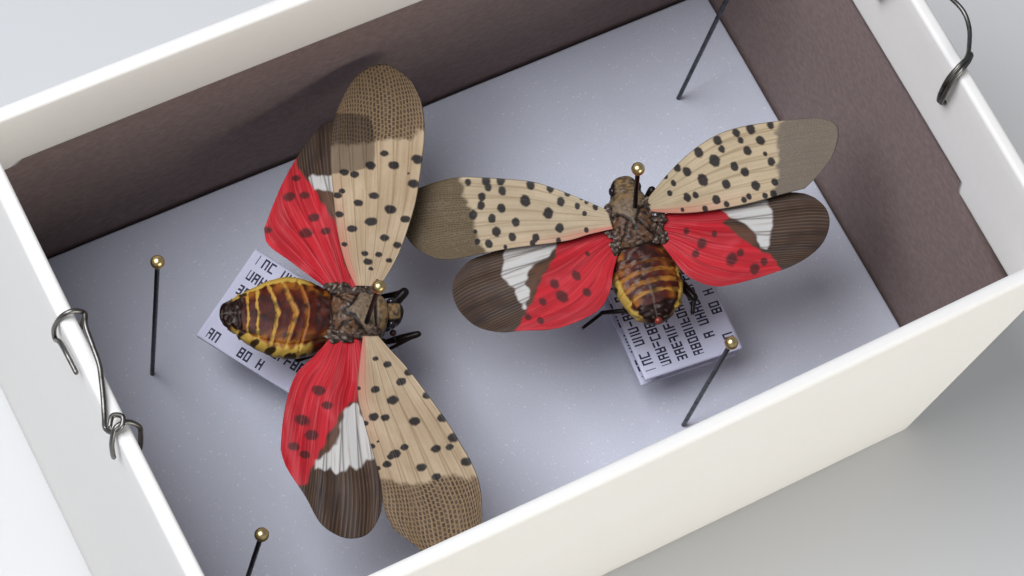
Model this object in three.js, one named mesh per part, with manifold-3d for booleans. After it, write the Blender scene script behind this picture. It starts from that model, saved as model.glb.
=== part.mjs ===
// Two spotted lanternflies, spread and pinned in an open card tray, modelled in millimetres.
// The frame has +Z up, +X along the tray's long side, and its origin at the middle of the tray's underside.

import * as THREE from 'three';
import { mergeVertices } from 'three/addons/utils/BufferGeometryUtils.js';
import Module from 'manifold-3d';

const wasm = await Module();
wasm.setup();

// Driving sizes of the tray and what lines it
const CLEARANCE = 0.3;
const TRAY = { length: 88, width: 53, height: 49.9, wall: 1.2, floor: 1.2 };
const TURN_IN = { depth: 10, thickness: 0.25 };
const FOAM_TOP = 13;

// Driving sizes of an insect pin, measured up from its point
const PIN = { length: 38, shaftRadius: 0.25, headRadius: 0.65, pointLength: 1.6, pointRadius: 0.03 };
const PIN_HOLE = { play: 0.25, below: 0.4, sides: 10 };

// Driving sizes of the labels and the binding wires
const LABEL = { length: 16.5, width: 11, thickness: 0.5 };
const WIRE = { radius: 0.3, sides: 3, steps: 40, holeRadius: 0.65, holeHeight: 45, holeSpacing: 12.3 };

// Driving sizes of an insect, in its own frame: x forward, y to its left, z up from the height it is set at
const WING = { thickness: 0.5, ridge: 0.16, veinHalfWidth: 0.025, lift: 0.5, span: 25 };
const FOREWING_TOP = -0.35;
const HINDWING_TOP = FOREWING_TOP - WING.thickness - CLEARANCE - WING.ridge - 0.04;
const WING_ROOT = 3.1;
const LUG = { root: 1.2, margin: 0.1, fore: [-0.35, 1.15], hind: [-3.15, -0.85] };
const THORAX = { front: 0.95, back: -3.2, top: -0.15, bottom: -4.8 };
const PRONOTUM = { front: 2.0, back: THORAX.front + CLEARANCE };
const HEAD = { front: 3.7, back: PRONOTUM.front + CLEARANCE };
const ABDOMEN_FRONT = THORAX.back - CLEARANCE;
const COXA = { radius: 0.5, foot: -5.2, height: 1.5, sides: 8 };
const EYE = { x: 2.62, y: 1.13, z: -1.5, radii: [0.42, 0.42, 0.6] };
const BULB = { x: 2.95, y: 1.4, z: -3, radii: [0.33, 0.33, 0.36] };
const HEAD_SHIFT = 0.25;

// Where each insect is set on its pin, which way it faces, and its size beside the outlines below
const MAIN = { x: -14.506, y: 1.305, z: 32.2, heading: -25.8, scale: 1.008 };
const SECOND = { x: 13.572, y: -0.827, z: 33.1, heading: 76, scale: 1.004 };

const v2 = (x, y) => new THREE.Vector2(x, y);
const v3 = (x, y, z) => new THREE.Vector3(x, y, z);
const UP = v3(0, 0, 1);

const model = new THREE.Group();

function finish(colour, roughness, metalness = 0) {
  return new THREE.MeshStandardMaterial({ color: colour, roughness, metalness });
}

const finishes = {
  card: finish(0xe9ebee, 0.8),
  foam: finish(0xd9dadd, 0.7),
  label: finish(0xdfe0ea, 0.75),
  steel: finish(0x3a3a40, 0.35, 0.9),
  wire: finish(0x8c8b86, 0.4, 0.9),
  forewing: finish(0xb09a82, 0.5),
  hindwing: finish(0xb3242a, 0.5),
  cuticle: finish(0x8a7566, 0.55),
  abdomen: finish(0x5c2c16, 0.5),
  eye: finish(0x1d2026, 0.2),
  pedicel: finish(0xb5431f, 0.4),
  leg: finish(0x231c1c, 0.45),
};

// Solids and unions

function geometryOf(points, triangles) {
  const geometry = new THREE.BufferGeometry();
  const places = new Float32Array(points.flatMap((p) => [p.x, p.y, p.z]));
  geometry.setAttribute('position', new THREE.BufferAttribute(places, 3));
  geometry.setIndex(triangles.flat());
  return geometry;
}

// Leaves only positions, merges shared corners and drops the flat triangles at poles
function closed(source) {
  const bare = source.clone();
  bare.deleteAttribute('normal');
  bare.deleteAttribute('uv');
  const geometry = mergeVertices(bare, 1e-4);
  const index = geometry.index.array;
  const kept = [];
  for (let i = 0; i < index.length; i += 3) {
    const [a, b, c] = [index[i], index[i + 1], index[i + 2]];
    if (a !== b && b !== c && a !== c) {
      kept.push(a, b, c);
    }
  }
  geometry.setIndex(kept);
  return geometry;
}

function solid(source) {
  const geometry = closed(source);
  return new wasm.Manifold(new wasm.Mesh({
    numProp: 3,
    vertProperties: new Float32Array(geometry.attributes.position.array),
    triVerts: new Uint32Array(geometry.index.array),
  }));
}

// The largest closed surface of a union or a cut, as a geometry
function largest(whole) {
  const pieces = whole.decompose().sort((a, b) => b.volume() - a.volume());
  const mesh = pieces[0].getMesh();
  const geometry = new THREE.BufferGeometry();
  geometry.setAttribute('position', new THREE.BufferAttribute(new Float32Array(mesh.vertProperties), 3));
  geometry.setIndex([...mesh.triVerts]);
  return geometry;
}

function fuse(geometries, cuts = []) {
  let whole = solid(geometries[0]);
  for (const piece of geometries.slice(1)) {
    whole = whole.add(solid(piece));
  }
  for (const cut of cuts) {
    whole = whole.subtract(solid(cut));
  }
  return largest(whole);
}

function box(low, high) {
  const geometry = new THREE.BoxGeometry(high[0] - low[0], high[1] - low[1], high[2] - low[2]);
  return geometry.translate((low[0] + high[0]) / 2, (low[1] + high[1]) / 2, (low[2] + high[2]) / 2);
}

// Rings of equal count joined in order, each end closed by a fan round one point
function loft(rings, start, end) {
  const sides = rings[0].length;
  const points = rings.flat();
  const triangles = [];
  for (let i = 0; i + 1 < rings.length; i += 1) {
    for (let j = 0; j < sides; j += 1) {
      const next = (j + 1) % sides;
      const [a, b, c, d] = [i * sides + j, i * sides + next, (i + 1) * sides + next, (i + 1) * sides + j];
      triangles.push([a, b, c], [a, c, d]);
    }
  }
  const last = (rings.length - 1) * sides;
  points.push(start, end);
  for (let j = 0; j < sides; j += 1) {
    const next = (j + 1) % sides;
    triangles.push([next, j, points.length - 2], [last + j, last + next, points.length - 1]);
  }
  return geometryOf(points, triangles);
}

// A straight round body from one point to another: [distance along it, radius] at each station
function turned(from, to, stations, sides) {
  const along = to.clone().sub(from).normalize();
  const turn = new THREE.Quaternion().setFromUnitVectors(UP, along);
  const at = (distance) => from.clone().addScaledVector(along, distance);
  const ringOf = ([distance, radius]) => Array.from({ length: sides }, (_, j) => {
    const angle = (2 * Math.PI * j) / sides;
    const offset = v3(radius * Math.cos(angle), radius * Math.sin(angle), 0).applyQuaternion(turn);
    return at(distance).add(offset);
  });
  const rings = stations.map(ringOf);
  return loft(rings, at(stations[0][0]), at(stations[stations.length - 1][0]));
}

function rod(from, to, radiusFrom, radiusTo, sides = 6) {
  return turned(from, to, [[0, radiusFrom], [from.distanceTo(to), radiusTo]], sides);
}

function ball(centre, radii, segments = 8, rows = 6) {
  const geometry = new THREE.SphereGeometry(1, segments, rows);
  return geometry.scale(...radii).translate(centre.x, centre.y, centre.z);
}

function add(group, name, geometry, material) {
  const mesh = new THREE.Mesh(closed(geometry), material);
  mesh.name = name;
  group.add(mesh);
}

// Pins: a pointed shaft and a round head, from the point up

function pinGeometry(tip, top) {
  const centre = PIN.length - PIN.headRadius;
  const neck = centre - PIN.headRadius * 0.92;
  const stations = [[0, PIN.pointRadius], [PIN.pointLength, PIN.shaftRadius], [neck, PIN.shaftRadius]];
  for (const degrees of [-50, -20, 10, 40, 68]) {
    const angle = THREE.MathUtils.degToRad(degrees);
    stations.push([centre + PIN.headRadius * Math.sin(angle), PIN.headRadius * Math.cos(angle)]);
  }
  return turned(tip, top, stations, 8);
}

function pinHole(tip, top, from, to) {
  const along = top.clone().sub(tip).normalize();
  const at = (height) => tip.clone().addScaledVector(along, (height - tip.z) / along.z);
  const radius = PIN.shaftRadius + PIN_HOLE.play;
  return rod(at(from), at(to), radius, radius, PIN_HOLE.sides);
}

// foot is where a pin enters the foam, head the middle of its round head
const pins = [
  { name: 'pin_main', foot: v3(-14.97, 0.24, FOAM_TOP), head: v3(-14.97, 0.24, 41) },
  { name: 'pin_second', foot: v3(17.17, -2.79, FOAM_TOP), head: v3(13.15, 0.88, 41) },
  { name: 'pin_left_back', foot: v3(-31.7, 9.5, FOAM_TOP), head: v3(-32.3, 10.6, 41) },
  { name: 'pin_left_front', foot: v3(-35, -16.3, FOAM_TOP), head: v3(-35, -16.3, 41) },
  { name: 'pin_front', foot: v3(15.4, -18, FOAM_TOP), head: v3(12.7, -18.2, 41) },
  { name: 'pin_back', foot: v3(33.3, 14.8, FOAM_TOP), head: v3(30.06, 13.18, 43.2) },
];

for (const pin of pins) {
  const along = pin.head.clone().sub(pin.foot).normalize();
  pin.top = pin.head.clone().addScaledVector(along, PIN.headRadius);
  pin.tip = pin.top.clone().addScaledVector(along, -PIN.length);
  add(model, pin.name, pinGeometry(pin.tip, pin.top), finishes.steel);
}
const [mainPin, secondPin] = pins;

// The tray: a card box with a thicker band where the wrapping paper turns in over the rim

function trayGeometry() {
  const [x, y] = [TRAY.length / 2, TRAY.width / 2];
  const [inX, inY] = [x - TRAY.wall, y - TRAY.wall];
  const bandX = inX - TURN_IN.thickness;
  const bandY = inY - TURN_IN.thickness;
  const above = TRAY.height + 1;
  const cuts = [
    box([-inX, -inY, TRAY.floor], [inX, inY, TRAY.height - TURN_IN.depth]),
    box([-bandX, -bandY, TRAY.height - TURN_IN.depth - 1], [bandX, bandY, above]),
  ];
  for (const side of [-1, 1]) {
    for (const end of [-1, 1]) {
      const holeY = (end * WIRE.holeSpacing) / 2;
      const inner = v3(side * (bandX - 1), holeY, WIRE.holeHeight);
      const outer = v3(side * (x + 1), holeY, WIRE.holeHeight);
      cuts.push(rod(inner, outer, WIRE.holeRadius, WIRE.holeRadius, 10));
    }
  }
  return fuse([box([-x, -y, 0], [x, y, TRAY.height])], cuts);
}

function foamGeometry() {
  const x = TRAY.length / 2 - TRAY.wall - CLEARANCE;
  const y = TRAY.width / 2 - TRAY.wall - CLEARANCE;
  const holes = pins.map((pin) => pinHole(pin.tip, pin.top, pin.tip.z - PIN_HOLE.below, FOAM_TOP + 1));
  return fuse([box([-x, -y, TRAY.floor + CLEARANCE], [x, y, FOAM_TOP])], holes);
}

add(model, 'case_tray', trayGeometry(), finishes.card);
add(model, 'foam_floor', foamGeometry(), finishes.foam);

// A label: corner is its first corner, rows run along heading, and its pin goes through it
function labelGeometry(corner, heading, bottom, pin) {
  const plate = box([0, 0, bottom], [LABEL.length, LABEL.width, bottom + LABEL.thickness]);
  plate.rotateZ(THREE.MathUtils.degToRad(heading)).translate(corner.x, corner.y, 0);
  return fuse([plate], [pinHole(pin.tip, pin.top, bottom - 1, bottom + LABEL.thickness + 1)]);
}

add(model, 'label_left', labelGeometry(v2(-27.6, 9.1), -58, 20, mainPin), finishes.label);
add(model, 'label_right', labelGeometry(v2(22.2, -14.8), 84, 20, secondPin), finishes.label);
add(model, 'label_right_under', labelGeometry(v2(22.3, -14.7), 84, 17.9, secondPin), finishes.label);

// Binding wires: one each end, in through a hole, over the rim, along the outside and back

function wireGeometry(side, bulge) {
  const outside = TRAY.length / 2;
  const inside = outside - TRAY.wall - TURN_IN.thickness;
  const free = WIRE.radius + CLEARANCE + 0.1;
  const hole = WIRE.holeSpacing / 2;
  const rim = TRAY.height + free;
  const halfRoute = [
    [outside + 1.4, hole + 0.6, WIRE.holeHeight - 2.2],
    [outside + 0.7, hole + 0.1, WIRE.holeHeight - 0.3],
    [inside + 0.1, hole, WIRE.holeHeight],
    [inside - free, hole - 0.2, WIRE.holeHeight + 1.2],
    [inside - free, hole - 0.6, TRAY.height - 0.6],
    [inside + 0.4, hole - 1, rim + 0.1],
    [outside + 0.2, hole - 1.5, rim - 0.1],
    [outside + 0.6 + bulge * 0.45, hole - 2.5, TRAY.height - 0.2],
    [outside + 0.6 + bulge, hole - 4.4, TRAY.height - 0.5],
  ];
  const otherHalf = halfRoute.map(([x, y, z]) => [x, -y, z]).reverse();
  const points = [...halfRoute, ...otherHalf].map(([x, y, z]) => v3(side * x, y, z));
  const route = new THREE.CatmullRomCurve3(points, false, 'centripetal');
  const outline = new THREE.Shape();
  outline.absarc(0, 0, WIRE.radius, 0, 2 * Math.PI);
  const sweep = { steps: WIRE.steps, extrudePath: route, curveSegments: WIRE.sides };
  return new THREE.ExtrudeGeometry(outline, sweep);
}

add(model, 'wire_left', wireGeometry(-1, 0.2), finishes.wire);
add(model, 'wire_right', wireGeometry(1, 2.4), finishes.wire);

// Wings: a wing is a sheet between its costa, its outer margin and its anal edge

function curve(points) {
  return new THREE.SplineCurve(points.map(([x, y]) => v2(x, y)));
}

// Point at s from root to margin and t from costa to anal edge, a blend of the four edges
function wingPoint(wing, s, t) {
  const costa = wing.costa.getPointAt(s);
  const anal = wing.anal.getPointAt(s);
  const margin = wing.margin.getPointAt(t);
  const chord = wing.costa.getPoint(1).lerp(wing.anal.getPoint(1), t);
  return costa.lerp(anal, t).addScaledVector(margin.sub(chord), s);
}

// Both faces share one grid and one way of splitting it; a strip closes the edge between them
function wingGeometry(wing, rows) {
  const columns = [0];
  for (const vein of wing.veins) {
    columns.push(vein - WING.veinHalfWidth, vein, vein + WING.veinHalfWidth);
  }
  columns.push(1);
  const raised = new Set(wing.veins);
  const points = [];
  for (const face of [1, 0]) {
    for (let i = 0; i <= rows; i += 1) {
      const s = i / rows;
      for (const t of columns) {
        const place = wingPoint(wing, s, t);
        const lift = WING.lift * ((Math.abs(place.y) - WING_ROOT) / WING.span) ** 2;
        const ridge = raised.has(t) && i < rows ? WING.ridge : 0;
        const height = face ? wing.top + lift + ridge : wing.top + lift - WING.thickness;
        points.push(v3(place.x, place.y, height));
      }
    }
  }
  const wide = columns.length;
  const under = (rows + 1) * wide;
  const triangles = [];
  const quad = (a, b, c, d) => triangles.push([a, b, c], [a, c, d]);
  for (let i = 0; i < rows; i += 1) {
    for (let j = 0; j + 1 < wide; j += 1) {
      const [a, b, c, d] = [i * wide + j, (i + 1) * wide + j, (i + 1) * wide + j + 1, i * wide + j + 1];
      quad(a, b, c, d);
      triangles.push([under + a, under + c, under + b], [under + a, under + d, under + c]);
    }
    const near = [i * wide, (i + 1) * wide];
    const far = [(i + 1) * wide - 1, (i + 2) * wide - 1];
    quad(near[0], under + near[0], under + near[1], near[1]);
    quad(far[1], under + far[1], under + far[0], far[0]);
  }
  for (let j = 0; j + 1 < wide; j += 1) {
    const outer = rows * wide + j;
    quad(j + 1, under + j + 1, under + j, j);
    quad(outer, under + outer, under + outer + 1, outer + 1);
  }
  if (wing.side < 0) {
    return geometryOf(points, triangles.map(([a, b, c]) => [a, c, b]));
  }
  return geometryOf(points, triangles);
}

const VEINS = {
  fore: [0.12, 0.27, 0.42, 0.57, 0.72, 0.88],
  hind: [0.08, 0.2, 0.34, 0.48, 0.62, 0.76, 0.9],
  few: [0.2, 0.45, 0.7],
};

function wing(side, pair, veins, costa, margin, anal) {
  const top = pair === 'fore' ? FOREWING_TOP : HINDWING_TOP;
  return { side, top, veins: VEINS[veins], costa: curve(costa), margin: curve(margin), anal: curve(anal) };
}

const mainWings = {
  forewing_left: wing(1, 'fore', 'fore',
    [[1.1, 3.1], [1.8, 3.2], [3.1, 5.5], [4.1, 8.1], [5.1, 11.5], [5.7, 15.1], [6.1, 18.6], [5.9, 21.6],
      [5, 23.9]],
    [[5, 23.9], [3.7, 25.1], [2.1, 25.7], [0.2, 24.9], [-1.2, 23.2], [-2.3, 20.9]],
    [[-0.3, 3.1], [-1.3, 4.7], [-2.4, 7.8], [-2.9, 11.9], [-3.1, 15.7], [-2.9, 18.9], [-2.3, 20.9]]),
  hindwing_left: wing(1, 'hind', 'hind',
    [[-0.9, 3.1], [-0.3, 7], [0.2, 11], [0.9, 14.5], [1.1, 17.1]],
    [[1.1, 17.1], [0.4, 19.1], [-0.9, 20.1], [-3.1, 19.8], [-4.6, 18.5], [-6.1, 16.2], [-7.8, 12.8],
      [-9.4, 8.5]],
    [[-3.3, 3.1], [-5.1, 3.7], [-6.9, 5.1], [-8.4, 6.2], [-9.2, 7.1], [-9.4, 8.5]]),
  forewing_right: wing(-1, 'fore', 'fore',
    [[1.1, -3.1], [2.2, -3.8], [3.8, -5.6], [5.6, -8.1], [7.2, -10.5], [8.4, -12.6], [9.7, -15.1],
      [10.3, -17.2], [10.4, -20]],
    [[10.4, -20], [9.8, -22.3], [8.4, -24], [6.6, -24.4], [5, -23.6], [3.5, -22.4], [2.1, -21.3]],
    [[-0.3, -3.1], [-0.9, -7.8], [-0.4, -10.9], [0.3, -13.6], [1, -16.6], [1.3, -19.4], [2.1, -21.3]]),
  hindwing_right: wing(-1, 'hind', 'hind',
    [[-0.9, -3.1], [-0.1, -7.5], [0.9, -12], [1.5, -16], [1.2, -19.3]],
    [[1.2, -19.3], [0.7, -20.5], [-0.2, -21.6], [-1.5, -22], [-2.9, -21.7], [-4.4, -20.6], [-5.8, -18],
      [-7.5, -15.2], [-8, -13.5]],
    [[-3.3, -3.1], [-4.7, -4.2], [-6.4, -6], [-7.3, -8.3], [-7.8, -11], [-8, -13.5]]),
};

const secondWings = [
  wing(1, 'fore', 'few',
    [[1.2, 1], [3, 4.2], [4.6, 6.2], [6.1, 8.5], [7.3, 11.7], [8.3, 15.3], [8.3, 18]],
    [[8.3, 18], [7.9, 20], [6.5, 21.8], [4.9, 22.2], [3.7, 21.9], [2, 21.2], [0.4, 19.6], [-0.2, 17.7]],
    [[-0.3, 1], [-0.1, 4.5], [-0.7, 7], [-0.4, 12.5], [-0.3, 15.4], [-0.2, 17.7]]),
  wing(1, 'hind', 'few',
    [[-0.9, 1], [-0.2, 8], [0.1, 13], [-0.2, 16], [-1, 17.5]],
    [[-1, 17.5], [-2, 18.4], [-3.6, 18.8], [-5.4, 18.5], [-7.1, 17.4], [-8.2, 15.6], [-8.6, 13.5],
      [-9.1, 11.2]],
    [[-2.9, 1], [-4.7, 3.1], [-6.9, 4.1], [-8.5, 5.8], [-9.2, 9.2], [-9.1, 11.2]]),
  wing(-1, 'fore', 'few',
    [[1.4, -1], [2.3, -3], [3.35, -4.3], [4.65, -6.2], [5.85, -8.5], [6.6, -11.1], [6.7, -14.1],
      [6.3, -17.6], [5.8, -20.5]],
    [[5.8, -20.5], [4.9, -22], [3.6, -22.1], [1.6, -21], [0, -19.3], [-1.4, -17.1]],
    [[0.1, -1], [-0.6, -3.7], [-1.1, -5.9], [-1.4, -8.8], [-1.5, -11.7], [-1.4, -14.7], [-1.4, -17.1]]),
  wing(-1, 'hind', 'few',
    [[-1, -1], [-0.6, -7], [-0.5, -12], [-0.9, -15.5], [-1.5, -17.2]],
    [[-1.5, -17.2], [-2.3, -18.1], [-3.5, -18.7], [-5.1, -18.6], [-6.8, -17.5], [-8, -15.7], [-8.6, -13.7],
      [-8.9, -10]],
    [[-2.9, -1], [-6.4, -3.3], [-7.8, -4.4], [-8.8, -6], [-9, -7.9], [-8.9, -10]]),
];

// Body: stations from front to back, each [x, half width, top, bottom, sideways shift]

function bodyRing([x, half, top, bottom, shift = 0], sides) {
  const middle = (top + bottom) / 2;
  const tall = (top - bottom) / 2;
  const squarer = (value) => Math.sign(value) * Math.abs(value) ** 0.8;
  return Array.from({ length: sides }, (_, j) => {
    const angle = (2 * Math.PI * (j + 0.5)) / sides;
    return v3(x, shift + half * squarer(Math.cos(angle)), middle + tall * squarer(Math.sin(angle)));
  });
}

function bodyGeometry(stations, sides = 16) {
  const ordered = [...stations].sort((a, b) => b[0] - a[0]);
  const rings = ordered.map((station) => bodyRing(station, sides).reverse());
  const middle = ([x, , top, bottom, shift = 0]) => v3(x, shift, (top + bottom) / 2);
  return loft(rings, middle(ordered[0]), middle(ordered[ordered.length - 1]));
}

const headStations = [
  [HEAD.front, 0.35, -1.0, -1.5, HEAD_SHIFT + 0.05], [HEAD.front - 0.2, 0.8, -0.8, -2.4, HEAD_SHIFT + 0.05],
  [HEAD.front - 0.6, 1.0, -0.65, -3.2, HEAD_SHIFT], [HEAD.back + 0.4, 1.1, -0.6, -3.9, HEAD_SHIFT],
  [HEAD.back, 1.0, -0.6, -4, HEAD_SHIFT - 0.05],
];

const pronotumStations = [
  [PRONOTUM.front, 1.3, -0.45, -4.2], [PRONOTUM.front - 0.3, 2.1, -0.25, -4.6],
  [PRONOTUM.back, 2.5, -0.2, -4.7, -0.2],
];

const thoraxStations = [
  [THORAX.front, 2.4, -0.3, THORAX.bottom], [0, 2.5, THORAX.top, THORAX.bottom],
  [-1.6, 2.55, THORAX.top, THORAX.bottom], [-2.6, 2.7, -0.7, THORAX.bottom],
  [THORAX.back, 2.8, -1, THORAX.bottom],
];

// Half width, top and bottom of the abdomen where each segment starts, and at the tip
const segments = [
  [ABDOMEN_FRONT, 2.9, -1.3, -4.9], [-4.5, 3.3, -1.2, -5.1], [-5.7, 3.7, -1.2, -5.2],
  [-6.9, 3.9, -1.25, -5.2], [-8.6, 3.7, -1.4, -5.1], [-10.2, 2.95, -1.7, -4.9], [-11.3, 2.1, -2, -4.6],
  [-12.4, 1.4, -2.3, -4.3], [-13.5, 0.7, -2.7, -3.9],
];

// Each tergite swells to its hind edge and steps down to the next
function abdomenStations(step) {
  const stations = [segments[0]];
  for (const [x, half, top, bottom] of segments.slice(1, -1)) {
    stations.push([x + 0.12, half + step, top + step, bottom - step / 2], [x, half, top, bottom]);
  }
  return [...stations, segments[segments.length - 1]];
}

function mirrored(make) {
  return [1, -1].map(make);
}

// Lugs at the wing roots, with flat outer faces that the wings meet
function wingLugs(side) {
  const [from, to] = [side * LUG.root, side * (WING_ROOT - CLEARANCE)];
  const [low, high] = [Math.min(from, to), Math.max(from, to)];
  return [[LUG.fore, FOREWING_TOP], [LUG.hind, HINDWING_TOP]].map(([[back, front], top]) => (
    box([back, low, top - WING.thickness - LUG.margin], [front, high, top + LUG.margin])
  ));
}

function coxa(x, y) {
  return rod(v3(x, y, COXA.foot + COXA.height), v3(x, y, COXA.foot), COXA.radius, COXA.radius, COXA.sides);
}

// The raised shield between the wings, ending in a point behind
function scutellum() {
  const half = [[0.8, 1.9], [-0.6, 1.6], [-2.4, 0.2]];
  const outline = [...half, [-3, 0], ...half.map(([x, y]) => [x, -y]).reverse()];
  const shape = new THREE.Shape(outline.map(([x, y]) => v2(x, y)));
  return new THREE.ExtrudeGeometry(shape, { depth: 0.6, bevelEnabled: false }).translate(0, 0, -0.55);
}

function localPin(pin, placing) {
  const inverse = placing.matrix.clone().invert();
  return { tip: pin.tip.clone().applyMatrix4(inverse), top: pin.top.clone().applyMatrix4(inverse) };
}

// An insect is set square on its pin: turned to its heading, then leaned as the pin leans
function placed(where, pin) {
  const group = new THREE.Group();
  group.position.set(where.x, where.y, where.z);
  group.scale.setScalar(where.scale);
  const lean = new THREE.Quaternion().setFromUnitVectors(UP, pin.top.clone().sub(pin.tip).normalize());
  const turn = new THREE.Quaternion().setFromAxisAngle(UP, THREE.MathUtils.degToRad(where.heading));
  group.quaternion.copy(lean.multiply(turn));
  group.updateMatrix();
  return group;
}

// Legs: joints from the coxa outwards, with the radius at each
const LEG_RADII = [0.42, 0.34, 0.36, 0.27, 0.25];
const SPINE = { root: 0.25, tip: 0.08, reach: 0.62, places: [0.5, 0.7, 0.9] };

// A spined leg carries short spines along the outer side of its third piece
function legGeometry(joints, spined = false) {
  const points = joints.map(([x, y, z]) => v3(x, y, z));
  const pieces = [];
  for (let i = 0; i + 1 < points.length; i += 1) {
    pieces.push(rod(points[i], points[i + 1], LEG_RADII[i], LEG_RADII[i + 1]));
    if (i > 0) {
      pieces.push(ball(points[i], [LEG_RADII[i], LEG_RADII[i], LEG_RADII[i]], 6, 3));
    }
  }
  if (spined) {
    const [knee, ankle] = [points[2], points[3]];
    const outward = v3(-0.2, Math.sign(knee.y), 0).multiplyScalar(SPINE.reach);
    for (const place of SPINE.places) {
      const root = knee.clone().lerp(ankle, place);
      pieces.push(rod(root, root.clone().add(outward), SPINE.root, SPINE.tip, 4));
    }
  }
  return fuse(pieces);
}

const legTop = COXA.foot - CLEARANCE;
const legs = {
  foreleg_left: [[1.65, 1.1, legTop], [1.8, 1.3, -6], [4.3, 3.5, -4.2], [2.1, 3.4, -5.4], [0.9, 3.2, -6.2]],
  foreleg_right: [[1.65, -1.1, legTop], [2.6, -1, -6], [5.6, -0.6, -4.6], [2.3, -1.9, -6.6],
    [1, -2.4, -7.2]],
  midleg_left: [[-0.5, 1.5, legTop], [-0.5, 1.8, -6], [-1.2, 4.4, -4.8], [-3, 3, -7], [-4.2, 2.6, -7.6]],
  midleg_right: [[-0.5, -1.5, legTop], [-0.5, -1.8, -6], [-1.2, -4.4, -4.8], [-3, -3, -7],
    [-4.2, -2.6, -7.6]],
  hindleg_left: [[-2.2, 1.1, legTop], [-2.5, 1.4, -6.1], [-5.8, 2.9, -6.1], [-9, 1.2, -6.6],
    [-10.6, 0.7, -7]],
  hindleg_right: [[-2.2, -1.1, legTop], [-2.5, -1.4, -6.1], [-5.8, -2.9, -6.1], [-9, -1.2, -6.6],
    [-10.6, -0.7, -7]],
};

const insect = placed(MAIN, mainPin);
model.add(insect);

for (const [name, form] of Object.entries(mainWings)) {
  const finish = name.startsWith('fore') ? finishes.forewing : finishes.hindwing;
  add(insect, name, wingGeometry(form, 10), finish);
}
for (const [name, joints] of Object.entries(legs)) {
  add(insect, name, legGeometry(joints, name.startsWith('hind')), finishes.leg);
}

// The eyes and the antennal bulbs stand in sockets a little wider than they are
const sideParts = mirrored((side) => ({
  word: side > 0 ? 'left' : 'right',
  eye: v3(EYE.x, HEAD_SHIFT + side * EYE.y, EYE.z),
  bulb: v3(BULB.x, HEAD_SHIFT + side * BULB.y, BULB.z),
  bristleTip: v3(BULB.x + 0.5, HEAD_SHIFT + side * (BULB.y + 1.4), BULB.z - 0.4),
}));
const socket = (centre, radii) => ball(centre, radii.map((r) => r + CLEARANCE), 10, 8);
const sockets = sideParts.flatMap(({ eye, bulb }) => [socket(eye, EYE.radii), socket(bulb, BULB.radii)]);

const pinThrough = localPin(mainPin, insect);
const mainHole = pinHole(pinThrough.tip, pinThrough.top, THORAX.bottom - 3, THORAX.top + 2);
const pronotumPieces = [bodyGeometry(pronotumStations), ...mirrored((side) => coxa(1.65, side * 1.1))];
const thoraxPieces = [
  bodyGeometry(thoraxStations), scutellum(), ...mirrored(wingLugs).flat(),
  ...mirrored((side) => coxa(-0.5, side * 1.5)), ...mirrored((side) => coxa(-2.2, side * 1.1)),
];
add(insect, 'head', fuse([bodyGeometry(headStations)], sockets), finishes.cuticle);
add(insect, 'pronotum', fuse(pronotumPieces, sockets), finishes.cuticle);
add(insect, 'thorax', fuse(thoraxPieces, [mainHole]), finishes.cuticle);
add(insect, 'abdomen', bodyGeometry(abdomenStations(0.12)), finishes.abdomen);

for (const { word, eye, bulb, bristleTip } of sideParts) {
  add(insect, `eye_${word}`, ball(eye, EYE.radii, 10, 8), finishes.eye);
  const bristle = rod(bulb, bristleTip, SPINE.root, SPINE.tip, 5);
  add(insect, `antenna_${word}`, fuse([ball(bulb, BULB.radii), bristle]), finishes.pedicel);
}

function rostrum() {
  const [base, bend, tip] = [v3(2.9, 0, -4.3), v3(2.2, 0, -5.5), v3(-3.4, 0, -5.9)];
  return fuse([rod(base, bend, 0.32, 0.3), ball(bend, [0.3, 0.3, 0.3], 6, 4), rod(bend, tip, 0.3, 0.25)]);
}
add(insect, 'rostrum', rostrum(), finishes.cuticle);

// The second insect is one solid, and plainer

const second = placed(SECOND, secondPin);
model.add(second);
const secondThrough = localPin(secondPin, second);
const secondStations = [
  [4.7, 0.6, -1, -1.7, -0.3], [4.4, 1.3, -0.7, -3, -0.3], [3.6, 1.65, -0.6, -3.8, -0.3],
  [2.8, 1.8, -0.3, -4.3, -0.2], [2, 2.5, -0.2, -4.7, 0], [-0.5, 2.5, -0.15, -4.8, 0],
  [-1.8, 2.6, -0.7, -4.8, 0], [-3.2, 3.0, -1.2, -5], [-4.5, 3.25, -1.2, -5.1], [-5.5, 3.35, -1.2, -5.1],
  [-6.5, 3.25, -1.25, -5.1, -0.05], [-7.5, 3.0, -1.4, -5, -0.1], [-8.5, 2.6, -1.6, -4.8, -0.1],
  [-9.2, 2.1, -1.9, -4.5], [-9.8, 1.4, -2.2, -4.2, 0.05], [-10.3, 0.7, -2.5, -3.8, 0.1],
];
const secondLegs = [
  [[1.9, 1.1, -4.2], [2.1, 1.6, -6], [4.2, 3.2, -4.6], [1.8, 3.2, -5.6]],
  [[1.9, -0.9, -4.2], [2.1, -1.6, -6], [3.8, -3.2, -3.6], [2, -3.4, -5.2]],
  [[-2.2, 1.1, -4.2], [-2.8, 1.6, -6.2], [-7.2, 2.2, -5.9], [-6.6, 4.6, -6.4], [-7.4, 6.7, -7]],
  [[-2.2, -1.4, -4.2], [-2.8, -2.2, -6], [-7.6, -4.4, -5.6], [-9.4, -3.4, -6.6]],
];
const secondPieces = [
  bodyGeometry(secondStations), ...secondWings.map((form) => wingGeometry(form, 6)),
  ...secondLegs.map((joints) => legGeometry(joints)),
];
const secondHole = pinHole(secondThrough.tip, secondThrough.top, THORAX.bottom - 3, THORAX.top + 2);
add(second, 'second_lanternfly', fuse(secondPieces, [secondHole]), finishes.cuticle);

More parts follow.
